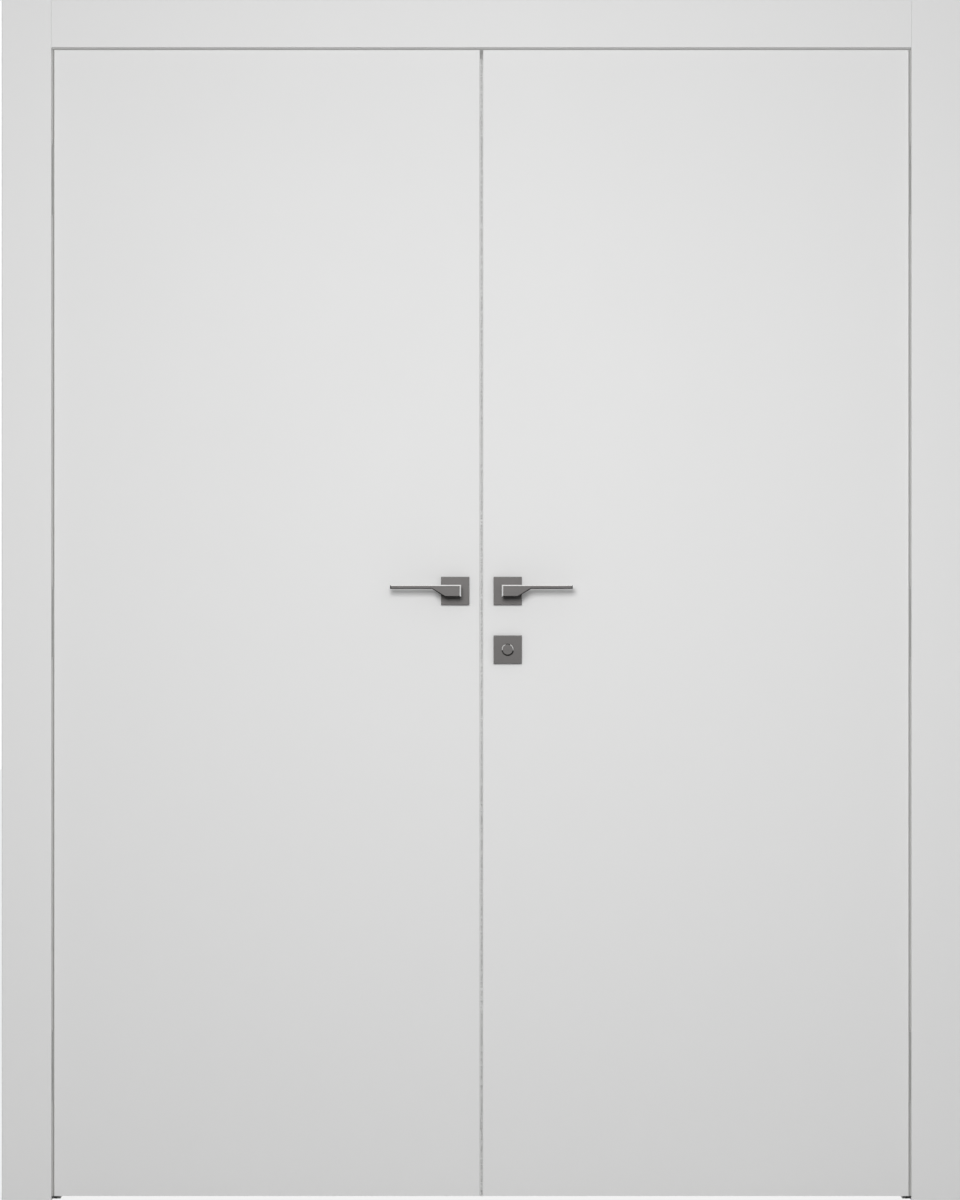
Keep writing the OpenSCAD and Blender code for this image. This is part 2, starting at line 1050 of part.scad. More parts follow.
// Pieces of the left leaf

module left_leaf() {
    color("#eaeae8")
        difference() {
            leaf_with_hinge_pockets();
            at_meeting_edge() {
                lever_holes();
                edge_plate(face_h, plate_w, face_z, fit);
                latch_mouth(0, plate_t + 16);
                dead_mouth(0, plate_t + 12);
                face_screw_spots()
                    screw_into_leaf(screw_l, fit);
                flush_pocket();
                lower_end()
                    flush_pocket();
            }
        }
}

module left_leaf_screws() {
    color("#c4c4c6") {
        leaf_hinge_screws();
        at_meeting_edge() {
            face_screw_spots()
                screw_into_leaf(screw_l, 0);
            flush_screws(0);
            lower_end()
                flush_screws(0);
        }
    }
}

module strike_plate() {
    color("#a8a8aa")
        at_meeting_edge()
            difference() {
                edge_plate(face_h, plate_w, face_z, 0);
                latch_mouth(-1, plate_t + 1);
                dead_mouth(-1, plate_t + 1);
                face_screw_spots()
                    screw_into_leaf(screw_l, fit);
            }
}

module strike_magnet() {
    color("#5c5c60")
        at_meeting_edge()
            edge_pocket(plate_t + 9, plate_t + 16, bolt_t, latch_z - latch_h / 2 + 2, latch_z + latch_h / 2 - 2);
}

module top_flush_plate() {
    color("#a8a8aa")
        at_meeting_edge()
            flush_plate();
}

module bottom_flush_plate() {
    lower_end()
        top_flush_plate();
}

module top_flush_bolt() {
    color("#c4c4c6")
        at_meeting_edge()
            flush_bolt();
}

module bottom_flush_bolt() {
    lower_end()
        top_flush_bolt();
}

module left_rosette_bases() {
    color("#a8a8aa")
        bases_at(lever_z, journal_r + run);
}

module left_rosette_screws() {
    color("#c4c4c6")
        at_meeting_edge()
            rose_screws(lever_z, 0);
}

// Pieces of the right leaf, drawn on the left and mirrored

module right_leaf() {
    color("#eaeae8")
        right_hand()
            difference() {
                leaf_with_hinge_pockets();
                at_meeting_edge() {
                    lever_holes();
                    translate([backset, leaf_t + 1, turn_z])
                        round_to_room(leaf_t + 2, tail_s);
                    rose_screws(turn_z, fit);
                    edge_plate(face_h, plate_w, face_z, fit);
                    edge_pocket(0, backset + case_back + fit, case_t + 2 * fit, case_z0 - fit, case_z1 + fit);
                    face_screw_spots()
                        screw_into_leaf(screw_l, fit);
                }
            }
}

module right_leaf_screws() {
    color("#c4c4c6")
        right_hand() {
            leaf_hinge_screws();
            at_meeting_edge()
                face_screw_spots()
                    screw_into_leaf(screw_l, 0);
        }
}

module lock_case() {
    inner_t = case_t - 2 * case_wall;
    color("#a8a8aa")
        right_hand()
            at_meeting_edge()
                difference() {
                    edge_pocket(plate_t, plate_t + case_w, case_t, case_z0, case_z1);
                    edge_pocket(
                        plate_t + case_wall, plate_t + case_w - case_wall, inner_t,
                        case_z0 + case_wall, case_z1 - case_wall
                    );
                    latch_mouth(plate_t - 1, plate_t + case_wall + 1);
                    dead_mouth(plate_t - 1, plate_t + case_wall + 1);
                    translate([backset, leaf_mid + case_t / 2 + 1, lever_z])
                        round_to_room(case_t + 2, hub_journal_r + run);
                    translate([backset, leaf_mid, turn_z])
                        round_to_room(case_t / 2 + 1, crank_journal_r + run);
                    translate([backset, leaf_mid + case_t / 2 + 1, turn_z])
                        round_to_room(case_t / 2 + 1, tail_s);
                }
}

module lock_faceplate() {
    color("#a8a8aa")
        right_hand()
            at_meeting_edge()
                difference() {
                    edge_plate(face_h, plate_w, face_z, 0);
                    latch_mouth(-1, plate_t + 1);
                    dead_mouth(-1, plate_t + 1);
                    face_screw_spots()
                        screw_into_leaf(screw_l, fit);
                }
}

module turn_rosette() {
    color("#787574")
        at_meeting_edge()
            translate([backset, 0, turn_z])
                rosette(turn_journal_r + run);
}

module right_rosette_bases() {
    color("#a8a8aa")
        right_hand() {
            bases_at(lever_z, journal_r + run);
            bases_at(turn_z, turn_journal_r + run);
        }
}

module right_rosette_screws() {
    color("#c4c4c6")
        right_hand()
            at_meeting_edge() {
                rose_screws(lever_z, 0);
                rose_screws(turn_z, 0);
            }
}

module lock_follower() {
    body_t = case_t - 2 * case_wall - 2 * pass;
    color("#c4c4c6")
        right_hand()
            at_meeting_edge()
                translate([backset, leaf_mid, lever_z])
                    difference() {
                        union() {
                            translate([0, case_t / 2, 0])
                                round_to_room(case_t, hub_journal_r);
                            translate([0, body_t / 2, 0])
                                round_to_room(body_t, hub_r);
                            translate([-nose_w / 2, -body_t / 2, 0])
                                cube([nose_w, body_t, nose_r]);
                        }
                        translate([0, case_t / 2 + 1, 0])
                            to_room(case_t + 2)
                                square(spindle_s + 2 * run, center = true);
                    }
}

module latch_bolt() {
    color("#c4c4c6")
        right_hand()
            at_meeting_edge() {
                edge_pocket(sunk, latch_l, bolt_t, latch_z - latch_h / 2, latch_z + latch_h / 2);
                edge_pocket(latch_l - 1, lug_x + lug_w, bolt_t / 2, lever_z + tail_z0, lever_z + tail_z1);
                edge_pocket(lug_x, lug_x + lug_w, bolt_t / 2, lever_z + hub_r + 1, lever_z + tail_z1);
            }
}

module dead_bolt() {
    pin_x = backset + crank_r * sin(45);
    slot = crank_pin_r + 0.45;
    color("#c4c4c6")
        right_hand()
            at_meeting_edge() {
                edge_pocket(sunk, dead_l, bolt_t, turn_z - dead_h / 2, turn_z + dead_h / 2);
                difference() {
                    translate([dead_l - 1, dead_v0, turn_z - dead_h / 2])
                        cube([dead_tail_l - dead_l + 1, dead_v1 - dead_v0, dead_h]);
                    translate([backset - tail_s, dead_v0 - 1, turn_z - tail_s])
                        cube([dead_travel + 2 * tail_s, dead_v1 - dead_v0 + 2, 2 * tail_s]);
                    translate([pin_x - slot, dead_v0 - 1, turn_z])
                        cube([2 * slot, dead_v1 - dead_v0 + 2, crank_r + slot]);
                }
            }
}

module front_turn() {
    color("#787574")
        right_hand()
            at_meeting_edge()
                translate([backset, 0, turn_z])
                    turn(leaf_mid - 0.5);
}

module rear_release() {
    color("#787574")
        right_hand()
            at_meeting_edge()
                rear_face()
                    translate([backset, 0, turn_z])
                        difference() {
                            turn(leaf_mid - 0.5);
                            translate([0, -rose_t - turn_h + 1.5, 0])
                                to_room(4)
                                    square([turn_d * 0.7, 2], center = true);
                        }
}

module turn_crank() {
    color("#c4c4c6")
        right_hand()
            at_meeting_edge()
                translate([backset, 0, turn_z])
                    difference() {
                        union() {
                            translate([0, crank_v1, 0])
                                round_to_room(crank_v1 - crank_v0, crank_disc_r);
                            translate([0, crank_v1, 0])
                                round_to_room(crank_v1 - leaf_mid + case_t / 2, crank_journal_r);
                            translate([crank_r * sin(45), dead_v1 + 0.5, crank_r * cos(45)])
                                round_to_room(dead_v1 + 1.5 - crank_v1, crank_pin_r);
                        }
                        translate([0, leaf_t, 0])
                            to_room(leaf_t)
                                square(tail_s + 2 * run, center = true);
                    }
}

placed() side_jamb();  // left_jamb
placed() right_hand() side_jamb();  // right_jamb
placed() head_jamb();
placed() side_seal();  // left_seal
placed() right_hand() side_seal();  // right_seal
placed() head_seal();
placed() front_side_casing();  // front_left_casing
placed() right_hand() front_side_casing();  // front_right_casing
placed() front_head_casing();
placed() rear_side_casing();  // rear_left_casing
placed() right_hand() rear_side_casing();  // rear_right_casing
placed() rear_head_casing();
placed() frame_cups();  // left_frame_cups
placed() right_hand() frame_cups();  // right_frame_cups
placed() frame_hinge_pins();
placed() frame_screws();
placed() bolt_keeper();
placed() frame_arms();  // left_frame_arms
placed() right_hand() frame_arms();  // right_frame_arms
placed() leaf_arms();  // left_leaf_arms
placed() right_hand() leaf_arms();  // right_leaf_arms
placed() left_leaf();
placed() leaf_cups();  // left_leaf_cups
placed() leaf_hinge_pins();  // left_hinge_pins
placed() left_leaf_screws();
placed() strike_plate();
placed() strike_magnet();
placed() top_flush_plate();
placed() bottom_flush_plate();
placed() lever_rosette();  // left_front_rosette
placed() rear_lever_rosette();  // left_rear_rosette
placed() left_rosette_bases();
placed() left_rosette_screws();
placed() front_lever();  // left_front_lever
placed() rear_lever();  // left_rear_lever
placed() lever_spindle();  // left_spindle
placed() top_flush_bolt();
placed() bottom_flush_bolt();
placed() right_leaf();
placed() right_hand() leaf_cups();  // right_leaf_cups
placed() right_hand() leaf_hinge_pins();  // right_hinge_pins
placed() right_leaf_screws();
placed() lock_case();
placed() lock_faceplate();
placed() right_hand() lever_rosette();  // right_front_rosette
placed() right_hand() rear_lever_rosette();  // right_rear_rosette
placed() right_hand() turn_rosette();  // turn_front_rosette
placed() right_hand() rear_face() turn_rosette();  // turn_rear_rosette
placed() right_rosette_bases();
placed() right_rosette_screws();
placed() right_hand() front_lever();  // right_front_lever
placed() right_hand() rear_lever();  // right_rear_lever
placed() right_hand() lever_spindle();  // right_spindle
placed() lock_follower();
placed() latch_bolt();
placed() dead_bolt();
placed() front_turn();
placed() rear_release();
placed() turn_crank();
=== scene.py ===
"""Closet door pair in its frame: sprayed white lacquer, graphite levers, zinc hinges and steel
screws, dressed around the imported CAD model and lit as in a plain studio. Metres throughout."""

import json
import math

import bmesh
import bpy
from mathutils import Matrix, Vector


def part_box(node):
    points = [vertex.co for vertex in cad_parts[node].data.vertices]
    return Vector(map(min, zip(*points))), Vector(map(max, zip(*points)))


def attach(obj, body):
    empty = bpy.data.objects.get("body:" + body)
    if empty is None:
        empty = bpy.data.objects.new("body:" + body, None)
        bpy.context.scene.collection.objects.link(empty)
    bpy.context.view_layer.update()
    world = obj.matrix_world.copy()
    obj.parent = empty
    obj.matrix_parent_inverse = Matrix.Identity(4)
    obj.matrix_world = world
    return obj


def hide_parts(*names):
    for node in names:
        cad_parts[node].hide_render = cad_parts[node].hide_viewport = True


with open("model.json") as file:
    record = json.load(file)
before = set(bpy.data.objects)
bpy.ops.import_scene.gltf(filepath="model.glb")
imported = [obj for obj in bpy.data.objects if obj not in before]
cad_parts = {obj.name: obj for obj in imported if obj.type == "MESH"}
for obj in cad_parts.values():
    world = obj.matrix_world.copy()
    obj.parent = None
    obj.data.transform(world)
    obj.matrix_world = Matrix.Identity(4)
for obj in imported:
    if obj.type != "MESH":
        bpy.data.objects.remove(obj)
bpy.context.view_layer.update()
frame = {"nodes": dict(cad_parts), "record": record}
NODES = frame["nodes"]
MM = 0.001

# ---------------------------------------------------------------- node helpers


def put(tree, kind, inputs=None, **settings):
    """Adds a node, sets it up, and fills or links its inputs."""
    node = tree.nodes.new(kind)
    for name, value in settings.items():
        setattr(node, name, value)
    for key, value in (inputs or {}).items():
        if isinstance(value, bpy.types.NodeSocket):
            tree.links.new(value, node.inputs[key])
        else:
            node.inputs[key].default_value = value
    return node


def calc(tree, operation, first, second=0.0):
    return put(tree, "ShaderNodeMath", {0: first, 1: second}, operation=operation).outputs[0]


def spread(tree, value, low, high):
    """Stretches a value from 0..1 to low..high."""
    limits = {"Value": value, "To Min": low, "To Max": high}
    return put(tree, "ShaderNodeMapRange", limits).outputs[0]


def step_between(tree, value, start, end):
    """0 before start, 1 after end, smooth between."""
    return put(
        tree, "ShaderNodeMapRange", {"Value": value, "From Min": start, "From Max": end},
        interpolation_type="SMOOTHSTEP",
    ).outputs[0]


def mix_colours(tree, share, first, second):
    node = put(tree, "ShaderNodeMix", {0: share, 6: first, 7: second}, data_type="RGBA")
    return node.outputs[2]


def noise(tree, vector, scale, detail=2.0, rough=0.5):
    return put(
        tree, "ShaderNodeTexNoise",
        {"Vector": vector, "Scale": scale, "Detail": detail, "Roughness": rough},
    ).outputs["Fac"]


def grain_noise(tree, position, size, detail, rough=0.5):
    """Noise whose grains are about as large as size, in metres."""
    return noise(tree, position, calc(tree, "DIVIDE", 1.0, size), detail, rough)


def new_group(name, inputs, outputs):
    """Starts a shader group and returns its tree, its input sockets and its output sockets."""
    tree = bpy.data.node_groups.new(name, "ShaderNodeTree")
    for label, kind, value in inputs:
        socket = tree.interface.new_socket(label, in_out="INPUT", socket_type="NodeSocket" + kind)
        socket.default_value = value
    for label, kind in outputs:
        tree.interface.new_socket(label, in_out="OUTPUT", socket_type="NodeSocket" + kind)
    return tree, put(tree, "NodeGroupInput").outputs, put(tree, "NodeGroupOutput").inputs


def use_group(tree, group, inputs):
    return put(tree, "ShaderNodeGroup", inputs, node_tree=group).outputs


def start_material(name):
    """New material with its Principled shader; returns material, tree, shader and position."""
    material = bpy.data.materials.new(name)
    material.use_nodes = True
    tree = material.node_tree
    shader = tree.nodes["Principled BSDF"]
    position = put(tree, "ShaderNodeTexCoord").outputs["Object"]
    return material, tree, shader, position


def set_surface(tree, shader, colour, rough, height, relief):
    """Feeds a finish's colour, roughness and fine relief to its shader."""
    bump = put(tree, "ShaderNodeBump", {"Height": height, "Distance": relief}).outputs["Normal"]
    for source, socket in ((colour, "Base Color"), (rough, "Roughness"), (bump, "Normal")):
        tree.links.new(source, shader.inputs[socket])


# ---------------------------------------------------------------- shared surface effects

SPECK_LEVEL = (0.72, 0.80)
FIBRE_PALE = (0.62, 0.48, 0.33, 1)
FIBRE_DARK = (0.47, 0.35, 0.23, 1)
FIBRE_LEVEL = (0.35, 0.65)
FLAKE_SCALE, BLOTCH_SCALE = 900.0, 35.0
FLAKE_SHARE, BLOTCH_SHARE = 0.7, 0.3
DRIFT_SCALE = 45.0
STAIN_SCALE = 60.0
WEAR_AND_HIGHLIGHT_KEEP = (0.75, 1.0)


def make_spray_skin():
    """Orange peel, soft clouding and fine specks of a sprayed coat."""
    tree, given, out = new_group(
        "spray_skin",
        [("Position", "Vector", (0, 0, 0)), ("Peel Size", "Float", 0.003),
         ("Cloud Size", "Float", 0.3)],
        [("Peel", "Float"), ("Cloud", "Float"), ("Speck", "Float")],
    )
    position = given["Position"]
    peel = grain_noise(tree, position, given["Peel Size"], detail=1.5)
    cloud = grain_noise(tree, position, given["Cloud Size"], detail=4.0, rough=0.55)
    speck_scale = calc(tree, "DIVIDE", 0.5, given["Peel Size"])
    fine = noise(tree, position, speck_scale, detail=3.0, rough=0.7)
    tree.links.new(peel, out["Peel"])
    tree.links.new(cloud, out["Cloud"])
    tree.links.new(step_between(tree, fine, *SPECK_LEVEL), out["Speck"])
    return tree


def make_board_fibre():
    """Pressed wood fibre where a board was sawn or routed and left bare."""
    tree, given, out = new_group(
        "board_fibre",
        [("Position", "Vector", (0, 0, 0)), ("Pale", "Color", FIBRE_PALE),
         ("Dark", "Color", FIBRE_DARK)],
        [("Colour", "Color"), ("Height", "Float")],
    )
    flakes = noise(tree, given["Position"], FLAKE_SCALE, detail=4.0, rough=0.7)
    blotch = noise(tree, given["Position"], BLOTCH_SCALE, detail=3.0)
    share = calc(tree, "ADD", calc(tree, "MULTIPLY", flakes, FLAKE_SHARE),
                 calc(tree, "MULTIPLY", blotch, BLOTCH_SHARE))
    level = step_between(tree, share, *FIBRE_LEVEL)
    tree.links.new(mix_colours(tree, level, given["Dark"], given["Pale"]), out["Colour"])
    tree.links.new(flakes, out["Height"])
    return tree


def make_brushed_grain():
    """Fine parallel brush lines; Stretch sets how dense they are along each axis."""
    tree, given, out = new_group(
        "brushed_grain",
        [("Position", "Vector", (0, 0, 0)), ("Stretch", "Vector", (1, 1, 1))],
        [("Line", "Float"), ("Drift", "Float")],
    )
    lined = put(tree, "ShaderNodeMapping", {
        "Vector": given["Position"], "Scale": given["Stretch"]}).outputs[0]
    tree.links.new(noise(tree, lined, 1.0, detail=3.0, rough=0.65), out["Line"])
    drift = noise(tree, given["Position"], DRIFT_SCALE, detail=3.0, rough=0.6)
    tree.links.new(drift, out["Drift"])
    return tree


def make_cast_skin():
    """Fine pitted skin of a die casting."""
    tree, given, out = new_group(
        "cast_skin", [("Position", "Vector", (0, 0, 0)), ("Grain Size", "Float", 0.0008)],
        [("Grain", "Float"), ("Stain", "Float")],
    )
    grain = grain_noise(tree, given["Position"], given["Grain Size"], detail=2.0, rough=0.6)
    tree.links.new(grain, out["Grain"])
    stain = noise(tree, given["Position"], STAIN_SCALE, detail=4.0, rough=0.6)
    tree.links.new(stain, out["Stain"])
    return tree


def make_edge_wear_and_highlight():
    """Mask of marked edge faces, broken up a little along its length: rubbed wear where every
    eased edge is marked, painted highlight where only lever and turn faces facing the lamps are
    marked.
    """
    tree, given, out = new_group(
        "edge_wear_and_highlight", [("Position", "Vector", (0, 0, 0)), ("Break Size", "Float", 0.004)],
        [("Edge", "Float")],
    )
    eased = put(tree, "ShaderNodeAttribute", attribute_name="eased_edge").outputs["Fac"]
    broken = grain_noise(tree, given["Position"], given["Break Size"], detail=3.0, rough=0.6)
    keep = spread(tree, broken, *WEAR_AND_HIGHLIGHT_KEEP)
    tree.links.new(calc(tree, "MULTIPLY", eased, keep), out["Edge"])
    return tree


SPRAY_SKIN = make_spray_skin()
BOARD_FIBRE = make_board_fibre()
BRUSHED_GRAIN = make_brushed_grain()
CAST_SKIN = make_cast_skin()
WEAR_AND_HIGHLIGHT_GROUP = make_edge_wear_and_highlight()

# ---------------------------------------------------------------- where the board is bare

FACE_TOLERANCE = 0.4 * MM
MEETING_EDGE_DEPTH = 2 * MM
WALL_TOLERANCE = 0.05 * MM
JAMB_THICKNESS = 32 * MM


def axis_parts(tree, position):
    """Distance from the middle plane, depth and height of a surface point."""
    parts = put(tree, "ShaderNodeSeparateXYZ", {"Vector": position}).outputs
    return calc(tree, "ABSOLUTE", parts["X"]), parts["Y"], parts["Z"]


def between(tree, value, low, high):
    """1 where a value lies between two limits, otherwise 0."""
    return calc(tree, "MULTIPLY", calc(tree, "GREATER_THAN", value, low),
                calc(tree, "LESS_THAN", value, high))


def bare_in_leaf(tree, position):
    """Routed pockets and bores, which lie inside the leaf's own box."""
    low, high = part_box("right_leaf")
    across, depth, height = axis_parts(tree, position)
    in_width = between(tree, across, low.x + MEETING_EDGE_DEPTH, high.x - FACE_TOLERANCE)
    in_depth = between(tree, depth, low.y + FACE_TOLERANCE, high.y - FACE_TOLERANCE)
    in_height = between(tree, height, low.z + FACE_TOLERANCE, high.z - FACE_TOLERANCE)
    return calc(tree, "MULTIPLY", calc(tree, "MULTIPLY", in_width, in_depth), in_height)


def bare_in_jamb(tree, position):
    """Everything behind the jamb's visible faces: its outer face, rabbets and hinge pockets."""
    face_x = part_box("left_jamb")[0].x + JAMB_THICKNESS
    head_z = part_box("head_jamb")[1].z - JAMB_THICKNESS
    across, _, height = axis_parts(tree, position)
    outside = calc(tree, "GREATER_THAN", across, abs(face_x) + FACE_TOLERANCE)
    over = calc(tree, "GREATER_THAN", height, head_z + FACE_TOLERANCE)
    return calc(tree, "MAXIMUM", outside, over)


def bare_behind_casing(tree, position):
    """Backs and tongues of the casings, which lie in the depth of the wall."""
    low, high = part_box("left_jamb")
    depth = axis_parts(tree, position)[1]
    return between(tree, depth, low.y - WALL_TOLERANCE, high.y + WALL_TOLERANCE)


# ---------------------------------------------------------------- finishes

LACQUER_WHITE = (0.800, 0.800, 0.797, 1)
LACQUER_SHADE = (0.783, 0.784, 0.782, 1)
LACQUER_ROUGH = (0.46, 0.53)
LACQUER_RELIEF = 0.02 * MM
PEEL_SIZE, CLOUD_SIZE = 2.6 * MM, 0.32
SPECK_HEIGHT, FIBRE_HEIGHT = 0.4, 6.0
BARE_ROUGH = 0.85

GRAPHITE_DARK = (0.047, 0.0451, 0.0443, 1)
GRAPHITE_PALE = (0.059, 0.0567, 0.0558, 1)
GRAPHITE_ROUGH = (0.34, 0.46)
GRAPHITE_RELIEF = 0.008 * MM
LINE_SHARE, DRIFT_SHARE = 0.6, 0.4
# Near-white edge colour: painted highlight on the lever and turn faces that face the lamps, light
# rubbed wear on the rosette's edges.
PAINTED_HIGHLIGHT_AND_WEAR = (0.94, 0.94, 0.93, 1)
HIGHLIGHT_AND_WEAR_BREAK = 6 * MM
HIGHLIGHT_AND_WEAR_SCATTER = 0.12

STEEL_SHADES = ((0.52, 0.52, 0.53, 1), (0.66, 0.66, 0.67, 1))
PLATE_SHADES = ((0.46, 0.45, 0.44, 1), (0.58, 0.57, 0.56, 1))
BRUSHED_SPREAD = 0.07
BRUSHED_RELIEF = 0.006 * MM
RUBBED_LIGHTER = 1.2

ZINC_SHADES = ((0.40, 0.40, 0.41, 1), (0.52, 0.52, 0.53, 1))
ZINC_RUBBED = (0.66, 0.66, 0.67, 1)
ZINC_ROUGH = (0.36, 0.52)
ZINC_GRAIN = 0.7 * MM

SEAL_SHADES = ((0.41, 0.41, 0.40, 1), (0.48, 0.48, 0.47, 1))
PILE_SHADES = ((0.50, 0.50, 0.49, 1), (0.60, 0.60, 0.59, 1))
MAGNET_SHADES = ((0.09, 0.09, 0.10, 1), (0.14, 0.14, 0.15, 1))
MATT_SPREAD = 0.06
CAST_RELIEF = 0.02 * MM

ALONG_X = (30, 900, 900)
ALONG_Z = (900, 900, 30)


def make_lacquer(name, bare_mask):
    """Satin white lacquer on board, bare where the mask says so."""
    material, tree, shader, position = start_material(name)
    skin = use_group(tree, SPRAY_SKIN, {
        "Position": position, "Peel Size": PEEL_SIZE, "Cloud Size": CLOUD_SIZE})
    fibre = use_group(tree, BOARD_FIBRE, {"Position": position})
    bare = bare_mask(tree, position)
    coat = mix_colours(tree, skin["Cloud"], LACQUER_SHADE, LACQUER_WHITE)
    colour = mix_colours(tree, bare, coat, fibre["Colour"])
    satin = spread(tree, skin["Cloud"], *LACQUER_ROUGH)
    rough = calc(tree, "MAXIMUM", satin, calc(tree, "MULTIPLY", bare, BARE_ROUGH))
    peel = calc(tree, "ADD", skin["Peel"], calc(tree, "MULTIPLY", skin["Speck"], SPECK_HEIGHT))
    raised = calc(tree, "MULTIPLY", fibre["Height"], FIBRE_HEIGHT)
    height = calc(tree, "ADD", peel, calc(tree, "MULTIPLY", bare, raised))
    set_surface(tree, shader, colour, rough, height, LACQUER_RELIEF)
    return material


def make_graphite(name, stretch, edge_share):
    """Satin graphite plate on a casting, brushed along one axis, with near-white mixed in on
    marked edge faces: painted highlight at full share on lever and turn, light rubbed wear on the
    rosette.
    """
    material, tree, shader, position = start_material(name)
    grain = use_group(tree, BRUSHED_GRAIN, {"Position": position, "Stretch": stretch})
    # cut is the mask of marked edge faces: painted highlight on lever and turn, rubbed wear on
    # the rosette.
    cut = use_group(tree, WEAR_AND_HIGHLIGHT_GROUP, {"Position": position, "Break Size": HIGHLIGHT_AND_WEAR_BREAK})["Edge"]
    edge = calc(tree, "MULTIPLY", cut, edge_share)
    shade = calc(tree, "ADD", calc(tree, "MULTIPLY", grain["Line"], LINE_SHARE),
                 calc(tree, "MULTIPLY", grain["Drift"], DRIFT_SHARE))
    plate = mix_colours(tree, shade, GRAPHITE_DARK, GRAPHITE_PALE)
    # Painted highlight: marked edge faces mixed towards near-white.
    colour = mix_colours(tree, edge, plate, PAINTED_HIGHLIGHT_AND_WEAR)
    satin = spread(tree, grain["Line"], *GRAPHITE_ROUGH)
    rough = calc(tree, "ADD", satin, calc(tree, "MULTIPLY", edge, HIGHLIGHT_AND_WEAR_SCATTER))
    shader.inputs["Metallic"].default_value = 1.0
    set_surface(tree, shader, colour, rough, grain["Line"], GRAPHITE_RELIEF)
    return material


def make_brushed(name, shades, rough):
    """Bright or satin plated steel with upright brush lines."""
    material, tree, shader, position = start_material(name)
    grain = use_group(tree, BRUSHED_GRAIN, {"Position": position, "Stretch": ALONG_Z})
    edge = use_group(tree, WEAR_AND_HIGHLIGHT_GROUP, {"Position": position})["Edge"]
    dark, pale = shades
    plate = mix_colours(tree, grain["Line"], dark, pale)
    lighter = tuple(min(1.0, RUBBED_LIGHTER * c) for c in pale[:3]) + (1,)
    colour = mix_colours(tree, edge, plate, lighter)
    satin = spread(tree, grain["Drift"], rough - BRUSHED_SPREAD, rough + BRUSHED_SPREAD)
    shader.inputs["Metallic"].default_value = 1.0
    set_surface(tree, shader, colour, satin, grain["Line"], BRUSHED_RELIEF)
    return material


def make_zinc(name):
    """Satin zinc casting of the hinges and rosette bases."""
    material, tree, shader, position = start_material(name)
    skin = use_group(tree, CAST_SKIN, {"Position": position, "Grain Size": ZINC_GRAIN})
    edge = use_group(tree, WEAR_AND_HIGHLIGHT_GROUP, {"Position": position})["Edge"]
    colour = mix_colours(tree, edge, mix_colours(tree, skin["Stain"], *ZINC_SHADES), ZINC_RUBBED)
    satin = spread(tree, skin["Stain"], *ZINC_ROUGH)
    shader.inputs["Metallic"].default_value = 1.0
    set_surface(tree, shader, colour, satin, skin["Grain"], CAST_RELIEF)
    return material


def make_matt(name, shades, rough, grain_size):
    """Matt stuff: the rubber of the seals, the pile fibre and the magnet."""
    material, tree, shader, position = start_material(name)
    skin = use_group(tree, CAST_SKIN, {"Position": position, "Grain Size": grain_size})
    colour = mix_colours(tree, skin["Stain"], *shades)
    dull = spread(tree, skin["Grain"], rough - MATT_SPREAD, rough + MATT_SPREAD)
    set_surface(tree, shader, colour, dull, skin["Grain"], CAST_RELIEF)
    return material


FINISH = {
    "leaf": make_lacquer("leaf_lacquer", bare_in_leaf),
    "jamb": make_lacquer("jamb_lacquer", bare_in_jamb),
    "casing": make_lacquer("casing_lacquer", bare_behind_casing),
    # edge_share 1.0 paints a full near-white highlight on the lever's and turn's marked faces;
    # 0.12 gives the rosette light edge wear.
    "lever": make_graphite("lever_graphite_painted_highlight", ALONG_X, edge_share=1.0),
    "rosette": make_graphite("rosette_graphite", ALONG_Z, edge_share=0.12),
    "turn": make_graphite("turn_graphite_painted_highlight", ALONG_X, edge_share=1.0),
    "steel": make_brushed("plated_steel", STEEL_SHADES, rough=0.30),
    "plate": make_brushed("satin_plate", PLATE_SHADES, rough=0.36),
    "zinc": make_zinc("zinc_casting"),
    "seal": make_matt("seal_rubber_grey", SEAL_SHADES, rough=0.62, grain_size=1.5 * MM),
    "pile": make_matt("pile_fibre", PILE_SHADES, rough=0.8, grain_size=0.6 * MM),
    "magnet": make_matt("dull_magnet", MAGNET_SHADES, rough=0.55, grain_size=0.9 * MM),
}

SLOT_FINISH = {
    "white_lacquer": "leaf", "seal_rubber": "seal", "zinc": "zinc", "steel": "steel",
    "satin_plate": "plate", "graphite": "rosette", "magnet": "magnet",
}
TURNS = ("front_turn", "rear_release")


def slot_of(node):
    parts = frame["record"]["subparts"]
    return next(part["material_slot"] for part in parts if part["node"] == node)


def body_with(node):
    bodies = frame["record"]["behaviour"]["bodies"]
    return next(body for body, nodes in bodies.items() if node in nodes)


def finish_of(node):
    """Finish of a CAD node, from the piece it is or else from its slot in the record."""
    for piece in ("jamb", "casing", "lever"):
        if node.endswith("_" + piece):
            return piece
    return "turn" if node in TURNS else SLOT_FINISH[slot_of(node)]


def coat_cad_nodes():
    for name, obj in NODES.items():
        obj.data.materials.clear()
        obj.data.materials.append(FINISH[finish_of(name)])


# ---------------------------------------------------------------- pieces of the scene


def add_object(name, data):
    obj = bpy.data.objects.new(name, data)
    bpy.context.scene.collection.objects.link(obj)
    return obj


def add_outline(name, points, edges):
    """A new piece of bare points and edges, for a Geometry Nodes tree to grow on."""
    data = bpy.data.meshes.new(name)
    data.from_pydata(points, edges, [])
    return add_object(name, data)


def plain_mesh(piece):
    """Turns a piece's modifier into its plain mesh."""
    graph = bpy.context.evaluated_depsgraph_get()
    plain = bpy.data.meshes.new_from_object(piece.evaluated_get(graph))
    piece.modifiers.clear()
    piece.data = plain


